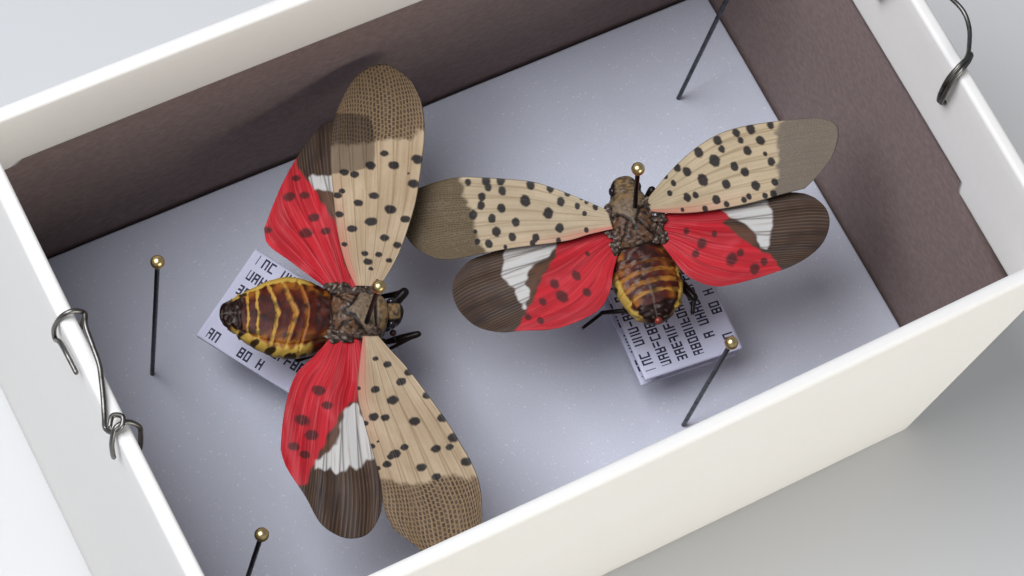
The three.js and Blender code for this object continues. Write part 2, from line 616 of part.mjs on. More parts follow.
export default model;
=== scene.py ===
"""The looks of two spotted lanternflies pinned in an open card tray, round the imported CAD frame.

Sizes are in millimetres of the tray's own frame until a mesh is written, which is in metres.
"""

import functools
import math

import bmesh
import bpy
import numpy as np
from mathutils import Matrix


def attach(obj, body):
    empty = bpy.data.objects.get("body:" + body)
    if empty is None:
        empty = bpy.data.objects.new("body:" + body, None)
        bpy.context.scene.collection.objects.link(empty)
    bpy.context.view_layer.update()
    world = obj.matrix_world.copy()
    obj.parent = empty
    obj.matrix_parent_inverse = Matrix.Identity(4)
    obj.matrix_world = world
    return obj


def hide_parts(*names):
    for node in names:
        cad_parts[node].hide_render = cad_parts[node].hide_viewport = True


MM = 0.001
UP = np.array([0.0, 0.0, 1.0])
FAR = 1e9

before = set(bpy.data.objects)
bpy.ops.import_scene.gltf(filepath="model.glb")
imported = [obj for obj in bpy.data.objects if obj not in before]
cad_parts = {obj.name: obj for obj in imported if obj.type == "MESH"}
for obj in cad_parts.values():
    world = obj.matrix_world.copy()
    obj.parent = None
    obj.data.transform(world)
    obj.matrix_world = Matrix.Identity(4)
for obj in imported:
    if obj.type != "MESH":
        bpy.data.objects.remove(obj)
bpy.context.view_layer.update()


# Numbers and frames


def smooth(low, high, value):
    """0 below low, 1 above high, and an eased ramp between."""
    share = np.clip((value - low) / (high - low), 0, 1)
    return share * share * (3 - 2 * share)


def bell(value, width):
    """1 where the value is 0, falling on both sides as a bell of this width."""
    return np.exp(-((value / width) ** 2))


def noise(points, scale, seed):
    """A smooth random field from -1 to 1: a sum of nine plane waves of about scale mm."""
    chance = np.random.default_rng(seed)
    field = np.zeros(points.shape[:-1])
    for _ in range(9):
        direction = chance.normal(size=3)
        direction /= np.linalg.norm(direction)
        rate = 2 * math.pi / (scale * chance.uniform(0.7, 1.6))
        field += np.sin(points @ direction * rate + chance.uniform(0, 7))
    return field / 4.5


def spline(points, count):
    """A Catmull-Rom curve through the points, at count places evenly spaced along it."""
    points = np.array(points, float)
    last = len(points) - 1
    place = np.linspace(0, last, last * 40 + 1)
    start = np.minimum(place.astype(int), last - 1)
    w = (place - start)[:, None]
    before = points[np.maximum(start - 1, 0)]
    here, there = points[start], points[start + 1]
    after = points[np.minimum(start + 2, last)]
    v0, v1 = (there - before) / 2, (after - here) / 2
    curve = (2 * here - 2 * there + v0 + v1) * w**3
    curve += (-3 * here + 3 * there - 2 * v0 - v1) * w**2 + v0 * w + here
    gone = np.linalg.norm(np.diff(curve, axis=0), axis=1).cumsum()
    share = np.concatenate([[0], gone]) / gone[-1]
    wanted = np.linspace(0, 1, count)
    return np.stack([np.interp(wanted, share, axis) for axis in curve.T], -1)


def turn_about_z(degrees):
    """A turn about the upward axis, anticlockwise from above."""
    a = math.radians(degrees)
    return np.array([[math.cos(a), -math.sin(a), 0], [math.sin(a), math.cos(a), 0], [0, 0, 1]])


def lean(direction):
    """The smallest turn that takes up to direction."""
    direction = np.array(direction, float) / np.linalg.norm(direction)
    x, y, z = np.cross(UP, direction)
    cross = np.array([[0, -z, y], [z, 0, -x], [-y, x, 0]])
    return np.eye(3) + cross + cross @ cross / (1 + direction[2])


def near(line, points):
    """Distance in mm from each point, seen from above, to a bent line."""
    best = np.full(points.shape[:-1], FAR)
    flat = points[..., :2]
    for a, b in zip(np.array(line[:-1], float), np.array(line[1:], float)):
        share = np.clip(((flat - a) @ (b - a)) / ((b - a) @ (b - a)), 0, 1)
        best = np.minimum(best, np.linalg.norm(flat - a - share[..., None] * (b - a), axis=-1))
    return best


def inside(outline, points):
    """Distance in mm from each point, seen from above, to an outline: above 0 inside it and below 0
    outside. A point is inside where a line from it to one side crosses the outline an odd number of
    times."""
    ring = np.array([*outline, outline[0]], float)
    x, y = points[..., 0], points[..., 1]
    odd = np.zeros(points.shape[:-1], bool)
    for a, b in zip(ring[:-1], ring[1:]):
        run, rise = b - a
        crosses = (a[1] > y) != (b[1] > y)
        odd ^= crosses & (x < a[0] + run * (y - a[1]) / (rise or 1 / FAR))
    gap = near(ring, points)
    return np.where(odd, gap, -gap)


def circle(sides):
    """Points of a unit circle about the upward axis."""
    angle = np.linspace(0, 2 * math.pi, sides, endpoint=False)
    return np.stack([np.cos(angle), np.sin(angle), np.zeros(sides)], -1)


# Meshes from grids of points

# The attributes that a grid may carry: millimetres along and across a piece, and four shares of a finish
ATTRIBUTES = (("place", "FLOAT_VECTOR", 3, "vector"), ("mask", "FLOAT_COLOR", 4, "color"))
JOIN, SPECK = 2e-7, 1e-8


def patch(points, material=0, **values):
    """A grid of points (rows, columns, 3), whose last column is joined to its first, and its attributes."""
    return {"points": points, "material": material, "values": values}


def quads(rows, columns, start):
    """Each grid cell as four point numbers, turned so that rows x columns faces outwards."""
    row = np.arange(rows - 1)[:, None]
    column = np.arange(columns)[None, :]
    after = (column + 1) % columns
    cells = [row * columns + column, (row + 1) * columns + column]
    cells += [(row + 1) * columns + after, row * columns + after]
    return start + np.stack(cells, -1).reshape(-1, 4)


def piece(name, patches, finishes, nodes, placing=None):
    """One object of the grids, standing for the nodes; placing is (turn, origin) of the grids' own
    frame."""
    turn, origin = placing or (np.eye(3), np.zeros(3))
    points, faces, kinds, start = [], [], [], 0
    for p in patches:
        rows, columns = p["points"].shape[:2]
        cells = quads(rows, columns, start)
        points.append(p["points"].reshape(-1, 3))
        faces.append(cells)
        kind = np.array(p["material"]).reshape(-1, 1)
        kinds.append(np.broadcast_to(kind, (rows - 1, columns)).ravel())
        start += rows * columns
    points = (np.concatenate(points) @ turn.T + origin) * MM
    faces, kinds = np.concatenate(faces), np.concatenate(kinds)
    mesh = bpy.data.meshes.new(name)
    mesh.vertices.add(len(points))
    mesh.vertices.foreach_set("co", points.astype(np.float32).ravel())
    mesh.loops.add(faces.size)
    mesh.loops.foreach_set("vertex_index", faces.astype(np.int32).ravel())
    mesh.polygons.add(len(faces))
    mesh.polygons.foreach_set("loop_start", np.arange(0, faces.size, 4, dtype=np.int32))
    mesh.polygons.foreach_set("loop_total", np.full(len(faces), 4, np.int32))
    mesh.polygons.foreach_set("material_index", kinds.astype(np.int32))
    mesh.update(calc_edges=True)
    for key, kind, width, channel in ATTRIBUTES:
        if any(key in p["values"] for p in patches):
            rows = []
            for p in patches:
                shape = (*p["points"].shape[:2], width)
                rows.append(np.broadcast_to(p["values"].get(key, 0.0), shape).reshape(-1, width))
            data = mesh.attributes.new(key, kind, "POINT").data
            data.foreach_set(channel, np.concatenate(rows).astype(np.float32).ravel())
    close(mesh)
    for finish in finishes:
        mesh.materials.append(finish)
    made = bpy.data.objects.new(name, mesh)
    bpy.context.scene.collection.objects.link(made)
    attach(made, "root")
    if nodes:
        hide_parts(*nodes)


def close(mesh):
    """Joins the points that meet at seams and poles, turns every face outwards, and shades it smooth."""
    work = bmesh.new()
    work.from_mesh(mesh)
    bmesh.ops.remove_doubles(work, verts=work.verts, dist=JOIN)
    bmesh.ops.dissolve_degenerate(work, edges=work.edges, dist=SPECK)
    bmesh.ops.recalc_face_normals(work, faces=work.faces)
    work.to_mesh(mesh)
    work.free()
    mesh.polygons.foreach_set("use_smooth", np.ones(len(mesh.polygons), bool))
    mesh.update()


def lathe(profile, sides, base, axis):
    """A round body: each row of the profile is (height, radius) about the axis from base."""
    height, radius = np.array(profile, float).T[..., None, None]
    points = circle(sides)[None] * radius + height * UP
    return patch(points[:, ::-1] @ lean(axis).T + np.array(base, float))


def tube(path, radii, sides):
    """A round cord along a path: at each point a ring square to the path, closed at both ends by a dome."""
    path = np.array(path, float)
    radii = np.broadcast_to(np.array(radii, float), (len(path),))
    along = np.gradient(path, axis=0)
    along /= np.linalg.norm(along, axis=1)[:, None]
    side = np.cross(along[0], UP if abs(along[0] @ UP) < 0.9 else np.array([1.0, 0, 0]))
    frames = []
    for direction in along:
        side = side - direction * (side @ direction)
        side /= np.linalg.norm(side)
        frames.append((side, np.cross(direction, side)))
    first, second = np.array(frames).transpose(1, 0, 2)[:, :, None]
    across, upward, _ = circle(sides).T[..., None]
    around = first * across + second * upward
    rings = path[:, None] + around * radii[:, None, None]
    ends = []
    for end, sign in ((0, -1), (-1, 1)):
        for a in np.radians([35, 65, 90]):
            out = path[end] + sign * along[end] * radii[end] * math.sin(a)
            ends.append(out + around[end] * radii[end] * math.cos(a))
    return patch(np.concatenate([ends[2::-1], rings, ends[3:]])[:, ::-1])


def ball(centre, radii, rows=20, sides=32, turn=np.eye(3)):
    """An ellipsoid: rings from its upper pole to its lower one."""
    down = np.linspace(0, math.pi, rows)[:, None, None]
    unit = circle(sides)[None] * np.sin(down) + np.cos(down) * UP
    return patch((unit * np.array(radii)) @ turn.T + np.array(centre, float))


# Materials


def colour(text):
    """An sRGB hex colour as the linear RGBA that a shader takes."""
    channels = [int(text[i : i + 2], 16) / 255 for i in (1, 3, 5)]
    return [c / 12.92 if c <= 0.04045 else ((c + 0.055) / 1.055) ** 2.4 for c in channels] + [1.0]


def node(tree, kind, inputs=(), out=0, **options):
    """Adds a node with its options and inputs, and returns one of its outputs, or all if out is None."""
    made = tree.nodes.new("ShaderNode" + kind)
    for key, value in options.items():
        setattr(made, key, value)
    for key, value in inputs.items() if isinstance(inputs, dict) else enumerate(inputs):
        if isinstance(value, bpy.types.NodeSocket):
            tree.links.new(value, made.inputs[key])
        else:
            made.inputs[key].default_value = colour(value) if isinstance(value, str) else value
    return made.outputs if out is None else made.outputs[out]


def laid(tree, under, over, share, much=1.0, ease=None, **options):
    """A colour laid over another by much of a share, which may first be eased between two values."""
    if ease:
        share = node(tree, "MapRange", (share, *ease), interpolation_type="SMOOTHSTEP")
    share = node(tree, "Math", (share, much), operation="MULTIPLY")
    return node(tree, "Mix", {0: share, 6: under, 7: over}, 2, data_type="RGBA", **options)


def grain(tree, place, scale, detail, stretch=(1, 1, 1), rough=0.55, ease=None):
    """Random grain from 0 to 1 over a stretched place, which may be eased between two values."""
    spread = node(tree, "VectorMath", (place, stretch), operation="MULTIPLY")
    inputs = {"Vector": spread, "Scale": scale, "Detail": detail, "Roughness": rough}
    found = node(tree, "TexNoise", inputs)
    return node(tree, "MapRange", (found, *ease), interpolation_type="SMOOTHSTEP") if ease else found


def together(tree, operation, values):
    """The values taken together, as by MAXIMUM for any of them or MULTIPLY for all of them."""
    return functools.reduce(lambda a, b: node(tree, "Math", (a, b), operation=operation), values)


def object_mm(tree):
    """Object coordinates counted in mm."""
    place = node(tree, "TexCoord", out="Object")
    return node(tree, "VectorMath", (place, (1 / MM, 1 / MM, 1 / MM)), operation="MULTIPLY")


def flat_place(tree):
    """Millimetres along and across a wing, and how much a vein shows there."""
    place = node(tree, "Attribute", out="Vector", attribute_name="place")
    along, across, vein = node(tree, "SeparateXYZ", (place,), None)
    return node(tree, "CombineXYZ", (along, across, 0.0)), vein


def masks(tree):
    """The four channels of the mask attribute."""
    found = node(tree, "Attribute", out=None, attribute_name="mask")
    return [*node(tree, "SeparateColor", (found["Color"],), None), found["Alpha"]]


def material(name, base, roughness, **inputs):
    """A new Principled material, and its node tree and shader for more to be added."""
    made = bpy.data.materials.new(name)
    made.use_nodes = True
    tree = made.node_tree
    shader = tree.nodes["Principled BSDF"]
    shader.inputs["Base Color"].default_value = colour(base)
    shader.inputs["Roughness"].default_value = roughness
    for key, value in inputs.items():
        shader.inputs[key.replace("_", " ")].default_value = value
    return made, tree, shader


def dressed(tree, shader, base, height, depth_mm, strength):
    """Puts a pattern of colour and a relief of this depth on the shader."""
    relief = {"Height": height, "Distance": depth_mm * MM, "Strength": strength}
    tree.links.new(base, shader.inputs["Base Color"])
    tree.links.new(node(tree, "Bump", relief), shader.inputs["Normal"])


def paper():
    """White wrapping paper: matt, faintly warm, with the short fibres of an uncoated sheet."""
    made, tree, shader = material("wrapping_paper", "#E6E4DF", 0.72)
    place = object_mm(tree)
    fibres = grain(tree, place, 1.2, 4)
    base = laid(tree, "#EAE8E3", "#CFCBC3", fibres, 0.2)
    base = laid(tree, base, "#D8D2C4", grain(tree, place, 0.07, 2), 0.18)
    dressed(tree, shader, base, fibres, 0.02, 0.6)
    return made


def chipboard():
    """Purple-brown board of pressed pulp: even and matt, with faint upright flecks."""
    made, tree, shader = material("chipboard", "#8A766F", 0.8)
    place = object_mm(tree)
    flecks = grain(tree, place, 1.6, 4, (0.9, 0.9, 1.3), 0.6)
    base = laid(tree, "#7A6864", "#8B7974", flecks, ease=(0.3, 0.75))
    base = laid(tree, base, "#6E5C57", grain(tree, place, 0.06, 2), 0.3)
    dressed(tree, shader, base, flecks, 0.015, 0.25)
    return made


def foam():
    """White closed-cell foam sheet: very fine cells under a smooth skin, with small painted glints here
    and there, white in colour and smoother."""
    made, tree, shader = material("polyethylene_foam", "#E9EAEF", 0.55)
    place = object_mm(tree)
    cells = node(tree, "TexVoronoi", {"Vector": place, "Scale": 6.0}, None, feature="F1")
    chance = node(tree, "SeparateColor", (cells["Color"],))
    glint = node(tree, "MapRange", (chance, 0.98, 0.995), interpolation_type="SMOOTHSTEP")
    base = laid(tree, "#D3D6E0", "#BFC3CF", cells["Distance"], 0.25)
    base = laid(tree, base, "#C6C6D3", grain(tree, place, 0.12, 2), 0.25, (0.35, 0.7))
    # Painted glints: small white specks laid into the colour
    base = laid(tree, base, "#FFFFFF", glint, 0.5)
    dull = node(tree, "Math", (glint, -0.4, 0.6), operation="MULTIPLY_ADD")
    tree.links.new(dull, shader.inputs["Roughness"])
    height = node(tree, "Math", (cells["Distance"], glint), operation="ADD")
    dressed(tree, shader, base, height, 0.05, 0.35)
    return made


# The marks on a label: how far apart its rows and letter places are in mm, and what part of a place a
# letter fills. In it the strokes' middles and half widths, and how often one is drawn, are shares of the
# letter.
ROW_MM, LETTER_MM = 1.83, 0.72
LETTER_FOOT, LETTER_HEIGHT, LETTER_WIDTH = 0.2, 0.62, 0.8
UPRIGHTS, UPRIGHT_HALF, UPRIGHT_CHANCE = (0.12, 0.88), 0.17, 0.78
LEVELS, LEVEL_HALF, LEVEL_CHANCE = (0.08, 0.5, 0.92), 0.1, 0.55
# Where the rows begin and end in mm, by how much their ends differ, and how often a place stays empty
MARGIN, ROW_END, ROW_END_SWAY, GAP_CHANCE = 0.8, 11.0, 4.5, 0.14


def stroke(tree, value, middle, half, chance, share):
    """1 where the value is within half of the middle, if the chance is below the share."""
    across = node(tree, "Math", (value, middle, half), operation="COMPARE")
    drawn = node(tree, "Math", (chance, share), operation="LESS_THAN")
    return node(tree, "Math", (across, drawn), operation="MULTIPLY")


def label_card():
    """Thin lilac-white card, smooth and matt, with rows of small dark marks in place of printing, which
    spell nothing: in each letter place two upright and three level strokes are there or not by chance.
    Some places stay empty, and the rows end unevenly."""
    made, tree, shader = material("label_card", "#DCDCE6", 0.65)
    place = node(tree, "Attribute", out="Vector", attribute_name="place")
    x, y, top = node(tree, "SeparateXYZ", (place,), None)
    pitches = ((x, LETTER_MM), (y, ROW_MM))
    counts = [node(tree, "Math", pitch, operation="DIVIDE") for pitch in pitches]
    letter, row = [node(tree, "Math", (count,), operation="FLOOR") for count in counts]
    along, above = [node(tree, "Math", (count,), operation="FRACT") for count in counts]
    inset = node(tree, "MapRange", (along, 0.0, LETTER_WIDTH), clamp=False)
    high = node(tree, "MapRange", (above, LETTER_FOOT, LETTER_FOOT + LETTER_HEIGHT), clamp=False)
    lot = node(tree, "CombineXYZ", (letter, row, 0.5))
    other_lot = node(tree, "VectorMath", (lot, (1.7, 2.3, 1.0)), operation="MULTIPLY")
    draws = [node(tree, "TexWhiteNoise", {"Vector": v}, "Color") for v in (lot, other_lot)]
    shape, gap = [node(tree, "SeparateColor", (draw,), None) for draw in draws]
    strokes = []
    for middle, chance in zip(UPRIGHTS, shape):
        strokes.append(stroke(tree, inset, middle, UPRIGHT_HALF, chance, UPRIGHT_CHANCE))
    for k, middle in enumerate(LEVELS):
        many = node(tree, "Math", (shape[2], 3.7 * (k + 1)), operation="MULTIPLY")
        chance = node(tree, "Math", (many,), operation="FRACT")
        strokes.append(stroke(tree, high, middle, LEVEL_HALF, chance, LEVEL_CHANCE))
    turned = node(tree, "Math", (row, 2.1), operation="MULTIPLY")
    sway = node(tree, "Math", (turned,), operation="SINE")
    end = node(tree, "Math", (sway, ROW_END_SWAY, ROW_END), operation="MULTIPLY_ADD")
    above_limit = ((high, 0.0), (x, MARGIN), (gap[0], GAP_CHANCE), (top, 0.5))
    below_limit = ((high, 1.0), (inset, 1.0), (x, end))
    limits = [node(tree, "Math", pair, operation="GREATER_THAN") for pair in above_limit]
    limits += [node(tree, "Math", pair, operation="LESS_THAN") for pair in below_limit]
    ink = together(tree, "MULTIPLY", [together(tree, "MAXIMUM", strokes), *limits])
    fibres = grain(tree, object_mm(tree), 3.0, 3)
    dressed(tree, shader, laid(tree, "#D2D3E6", "#2B2A44", ink), fibres, 0.01, 1.0)
    return made


def metal(name, base, shade, roughness):
    """Drawn metal: an uneven polish, and a slightly darker and duller tarnish in patches."""
    made, tree, shader = material(name, base, roughness, Metallic=1.0)
    patches = grain(tree, object_mm(tree), 0.9, 3, ease=(0.45, 0.75))
    dull = node(tree, "Math", (patches, 0.15, roughness), operation="MULTIPLY_ADD")
    tree.links.new(laid(tree, base, shade, patches), shader.inputs["Base Color"])
    tree.links.new(dull, shader.inputs["Roughness"])
    return made


def forewing_skin(name, tan, shade, cell, gap, length, height, width):
    """Dried leathery forewing: tan with faint lengthwise streaks and thin brown veins, nearly black
    spots, and outside the fork line rows of small dark cells in a paler net. Near the hindwing its base
    is pink, and where the hindwing lies beneath it is dimmed by painted shade. The cells' length, rows'
    height and gaps' width are in mm."""
    made, tree, shader = material(name, tan, 0.55, Specular_IOR_Level=0.3)
    spots, net, pink, under = masks(tree)
    place, vein = flat_place(tree)
    streak = grain(tree, place, 1.0, 3, (0.12, 2.4, 1))
    base = laid(tree, tan, shade, streak, 0.6, (0.35, 0.75))
    base = laid(tree, base, "#C8B597", grain(tree, place, 0.22, 2), 0.35, (0.4, 0.7))
    base = laid(tree, base, shade, grain(tree, place, 3.2, 2), 0.25, (0.5, 0.8))
    base = laid(tree, base, "#7C6546", vein, 0.5)
    base = laid(tree, base, "#C2685A", pink, 0.75)
    wobble = node(tree, "TexNoise", {"Vector": place, "Scale": 1.1, "Detail": 1.0}, "Color")
    bent = node(tree, "VectorMath", (wobble, (0.4, 0.2, 0), place), operation="MULTIPLY_ADD")
    cells = {"Vector": bent, "Color1": cell, "Color2": shade, "Mortar": gap, "Scale": 1.0, "Bias": -0.75}
    cells |= {"Brick Width": length, "Row Height": height, "Mortar Size": width, "Mortar Smooth": 0.35}
    tip, gaps = node(tree, "TexBrick", cells, None, offset=0.5)
    tip = laid(tree, tip, gap, streak, 0.35, (0.3, 0.8))
    base = laid(tree, base, tip, net, 0.92)
    # Painted shade: the forewing dimmed where the hindwing lies beneath it
    base = laid(tree, base, "#85807F", under, 0.75, blend_type="MULTIPLY")
    base = laid(tree, base, "#0F0D13", spots, 0.95)
    raised = node(tree, "Math", (gaps, net), operation="MULTIPLY")
    height = node(tree, "Math", (streak, 0.6, raised), operation="MULTIPLY_ADD")
    dressed(tree, shader, base, height, 0.03, 0.5)
    return made


def hindwing_skin():
    """Thin folded hindwing: red at the base with brownish spots, a soft brown wedge, a milky band, and a
    dark brown outer part crossed by many fine paler rays."""
    made, tree, shader = material("hindwing_membrane", "#3C291D", 0.5, Specular_IOR_Level=0.3)
    spots, red, white, wedge = masks(tree)
    place, vein = flat_place(tree)
    _, across, _ = node(tree, "SeparateXYZ", (place,), None)
    rays = grain(tree, place, 3.1, 1, (0.05, 1, 1), ease=(0.52, 0.64))
    wide = grain(tree, place, 1.1, 2, (0.06, 1, 1))
    cloud = grain(tree, place, 0.3, 2)
    bend = node(tree, "Math", (grain(tree, place, 1.0, 2, (0.05, 0.35, 1)), 7.0), operation="MULTIPLY")
    turned = node(tree, "Math", (across, 24.0, bend), operation="MULTIPLY_ADD")
    wave = node(tree, "Math", (turned,), operation="SINE")
    comb = node(tree, "MapRange", (wave, 0.0, 0.95), interpolation_type="SMOOTHSTEP")
    clear = node(tree, "MapRange", (cloud, 0.3, 0.6), interpolation_type="SMOOTHSTEP")
    dark = laid(tree, "#3C291D", "#281A13", wide, ease=(0.35, 0.7))
    base = laid(tree, dark, "#80694F", together(tree, "MULTIPLY", (comb, clear)), 0.3)
    deep = laid(tree, "#980E1A", "#BA1A26", wide, ease=(0.35, 0.65))
    deep = laid(tree, deep, "#C63E46", cloud, 0.5, (0.5, 0.75))
    deep = laid(tree, deep, "#CC6464", rays, 0.16)
    milk = laid(tree, "#BFBCB6", "#8E7F6E", rays, 0.4)
    milk = laid(tree, milk, "#3F2F27", vein, 0.75)
    base = laid(tree, base, "#5A3B28", wedge, 0.85)
    base = laid(tree, base, deep, red)
    base = laid(tree, base, milk, white)
    base = laid(tree, base, "#321715", spots, 0.85)
    height = node(tree, "Math", (rays, 0.3, wide), operation="MULTIPLY_ADD")
    dressed(tree, shader, base, height, 0.05, 0.6)
    return made


def cuticle(name, base, dark, pale, tint, glow, roughness=0.42, grain_mm=0.35):
    """Hard dried cuticle: fine pits and mottling over the base. The mask lays on dark marks, a pale waxy
    tone that on the abdomen also gives painted sheen, a tint and a warmer, clearer tone."""
    made, tree, shader = material(name, base, roughness, Specular_IOR_Level=0.2)
    marks, wax_and_sheen, tinted, glowing = masks(tree)
    place = object_mm(tree)
    fine = grain(tree, place, 1 / grain_mm, 4, rough=0.65)
    coarse = grain(tree, place, 0.45 / grain_mm, 2)
    tone = laid(tree, base, dark, fine, 0.6, (0.42, 0.68))
    tone = laid(tree, tone, glow, coarse, glowing, (0.2, 0.5))
    tone = laid(tree, tone, tint, coarse, tinted, (0.15, 0.4))
    tone = laid(tree, tone, dark, marks)
    tone = laid(tree, tone, pale, fine, wax_and_sheen, (0.38, 0.58))
    dressed(tree, shader, tone, fine, 0.04, 0.5)
    return made


# Wrapping paper, pulp board, foam sheet and label card, all matt: what each gives the eye stands above
PAPER = paper()
CHIPBOARD = chipboard()
FOAM = foam()
LABEL_CARD = label_card()
# Blued steel of the pin shafts: nearly black with a blue edge to its shine
PIN_STEEL = metal("blued_steel", "#2A2C33", "#1C1B1F", 0.3)
# Brass of the pin heads: yellow, well polished, a little brown in patches
BRASS = metal("brass", "#D9C48E", "#A88C54", 0.3)
# Annealed binding wire: grey, dull, with brownish patches
TIE_WIRE = metal("annealed_wire", "#76746F", "#4A433C", 0.38)
# Leathery forewings, satin tan: the larger insect's a little darker, with coarse dark cells near the tip
FOREWING_MAIN = forewing_skin("forewing_main", "#AE987A", "#8C7558", "#271A12", "#80684B", 0.46, 0.3, 0.07)
# The smaller insect's, a little paler with fine cells, and those of its right wing paler still and greyer
FOREWING_SECOND_LEFT = forewing_skin(
    "forewing_second_left", "#B2A083", "#917F62", "#3E2F1B", "#5F4F36", 0.3, 0.18, 0.04
)
FOREWING_SECOND_RIGHT = forewing_skin(
    "forewing_second_right", "#B8A585", "#958365", "#5A5048", "#706659", 0.3, 0.18, 0.04
)
# Hindwing membrane: thin and satin, red, white and dark brown
HINDWING = hindwing_skin()
# Thorax cuticle: olive brown and satin, with black grooves, pale wax and rust-brown plates
THORAX_SKIN = cuticle("thorax_cuticle", "#7C6A56", "#15100E", "#A39788", "#4A3526", "#55341F")
# Head and pronotum cuticle: the same, with a clearer tan
HEAD_SKIN = cuticle("head_cuticle", "#77644C", "#100D0C", "#A3988A", "#3E2F22", "#86683F")
# Torn plates at the wing bases: dark brown, rough and dull, with pale broken edges
BASE_SKIN = cuticle("wing_base_cuticle", "#43332A", "#120E0C", "#94887A", "#2E2019", "#4E3322", 0.6, 0.3)
# Abdomen cuticle: dark red-brown plates with yellow skin and amber edges between, a little dull
# Its pale grey tone also serves as painted sheen on the abdomen's back
ABDOMEN_SKIN = cuticle("abdomen_cuticle", "#4A1304", "#170A06", "#8A7B72", "#BA9A46", "#A0601F", 0.5, 0.6)
# Leg cuticle: nearly black, smooth and somewhat glossy
LEG_SKIN = cuticle("leg_cuticle", "#17100F", "#0B0808", "#6A5A50", "#2A1D19", "#1D1412", 0.35, 0.5)
# Dried compound eye: dark grey-brown, smooth and glossy
EYE_SKIN, _, _ = material("compound_eye", "#1E1B1E", 0.18)
# Antennal bulb: dried to dark red-brown, waxy smooth
BULB_SKIN, _, _ = material("antenna_bulb", "#34150F", 0.35)
# Last ring of the abdomen: orange-red, waxy smooth
TAIL_SKIN, _, _ = material("abdomen_tip", "#7A2A18", 0.35)
# Table top: pale, plain and matt
TABLE_TOP, _, _ = material("table_top", "#CFCFCD", 0.7)


# The tray, the foam, the pins, the labels and the wires

# Half the tray's length and width, its height, and the thickness of its walls and floor
HALF_LENGTH, HALF_WIDTH, RIM = 44.0, 26.5, 49.9
WALL, FLOOR, CORNER = 1.2, 1.2, 1.3
# The paper is this much thicker than the board where it is turned in below the rim, as a band this deep
BAND, BAND_DEPTH = 0.25, 10.0
RIM_OUTER_ROUND, RIM_INNER_ROUND = 0.55, 0.45
# How far the long walls and the end walls bow outwards at the rim
LONG_BOW, END_BOW, BOW_FROM = 0.25, 0.2, 8.0
# The band is deeper by this much where its ends overlap: beyond this x and y at the front right, and beyond
# these at the back left
RIGHT_STEP, RIGHT_STEP_X, RIGHT_STEP_Y = 1.5, 40.0, -13.2
LEFT_STEP, LEFT_STEP_X, LEFT_STEP_Y = 0.9, -39.5, 20.0
# Farther out than this is a long wall, and farther along than this an end wall
LONG_WALL_Y, END_WALL_X = 20.0, 38.0
# The foam's top and underside, its distance from the tray's outer faces, and the round of its upper edge
FOAM_TOP, FOAM_FOOT, FOAM_GAP, FOAM_ROUND = 13.0, 1.5, 1.5, 0.3
# How far in a ring is almost the tray's middle line
MIDDLE = HALF_WIDTH - 0.01


def outline(inset, radius, along, bend):
    """A rounded rectangle at a distance inside the tray's outer faces, from the front of its right side.
    Each side has the given number of points along it, and each corner as many round its bend."""
    x, y = HALF_LENGTH - inset, HALF_WIDTH - inset
    radius = max(radius, 0.05)
    line = np.linspace(0, 1, along, endpoint=False)[:, None]
    quarter = np.linspace(0, math.pi / 2, bend, endpoint=False)
    signs = ((1, 1), (-1, 1), (-1, -1), (1, -1))
    starts = ((x, radius - y), (x - radius, y), (-x, y - radius), (radius - x, -y))
    ends = ((x, y - radius), (radius - x, y), (-x, radius - y), (x - radius, -y))
    sides = []
    for k, (sign, a, b) in enumerate(zip(*np.array((signs, starts, ends), float))):
        centre = sign * (x - radius, y - radius)
        angle = quarter + k * math.pi / 2
        sides += [a + (b - a) * line, centre + radius * np.stack([np.cos(angle), np.sin(angle)], -1)]
    return np.concatenate(sides)


def carried(profile, radii, along, bend):
    """A profile of insets and heights carried round the tray, each as a rounded rectangle. The first and
    last are shut along the tray's long middle line."""
    rings = []
    for (inset, height), radius in zip(profile, radii):
        flat = outline(inset, radius, along, bend)
        rings.append(np.concatenate([flat, np.full((len(flat), 1), height)], -1))
    points = np.array(rings)
    points[[0, -1], :, 1] = 0
    return points


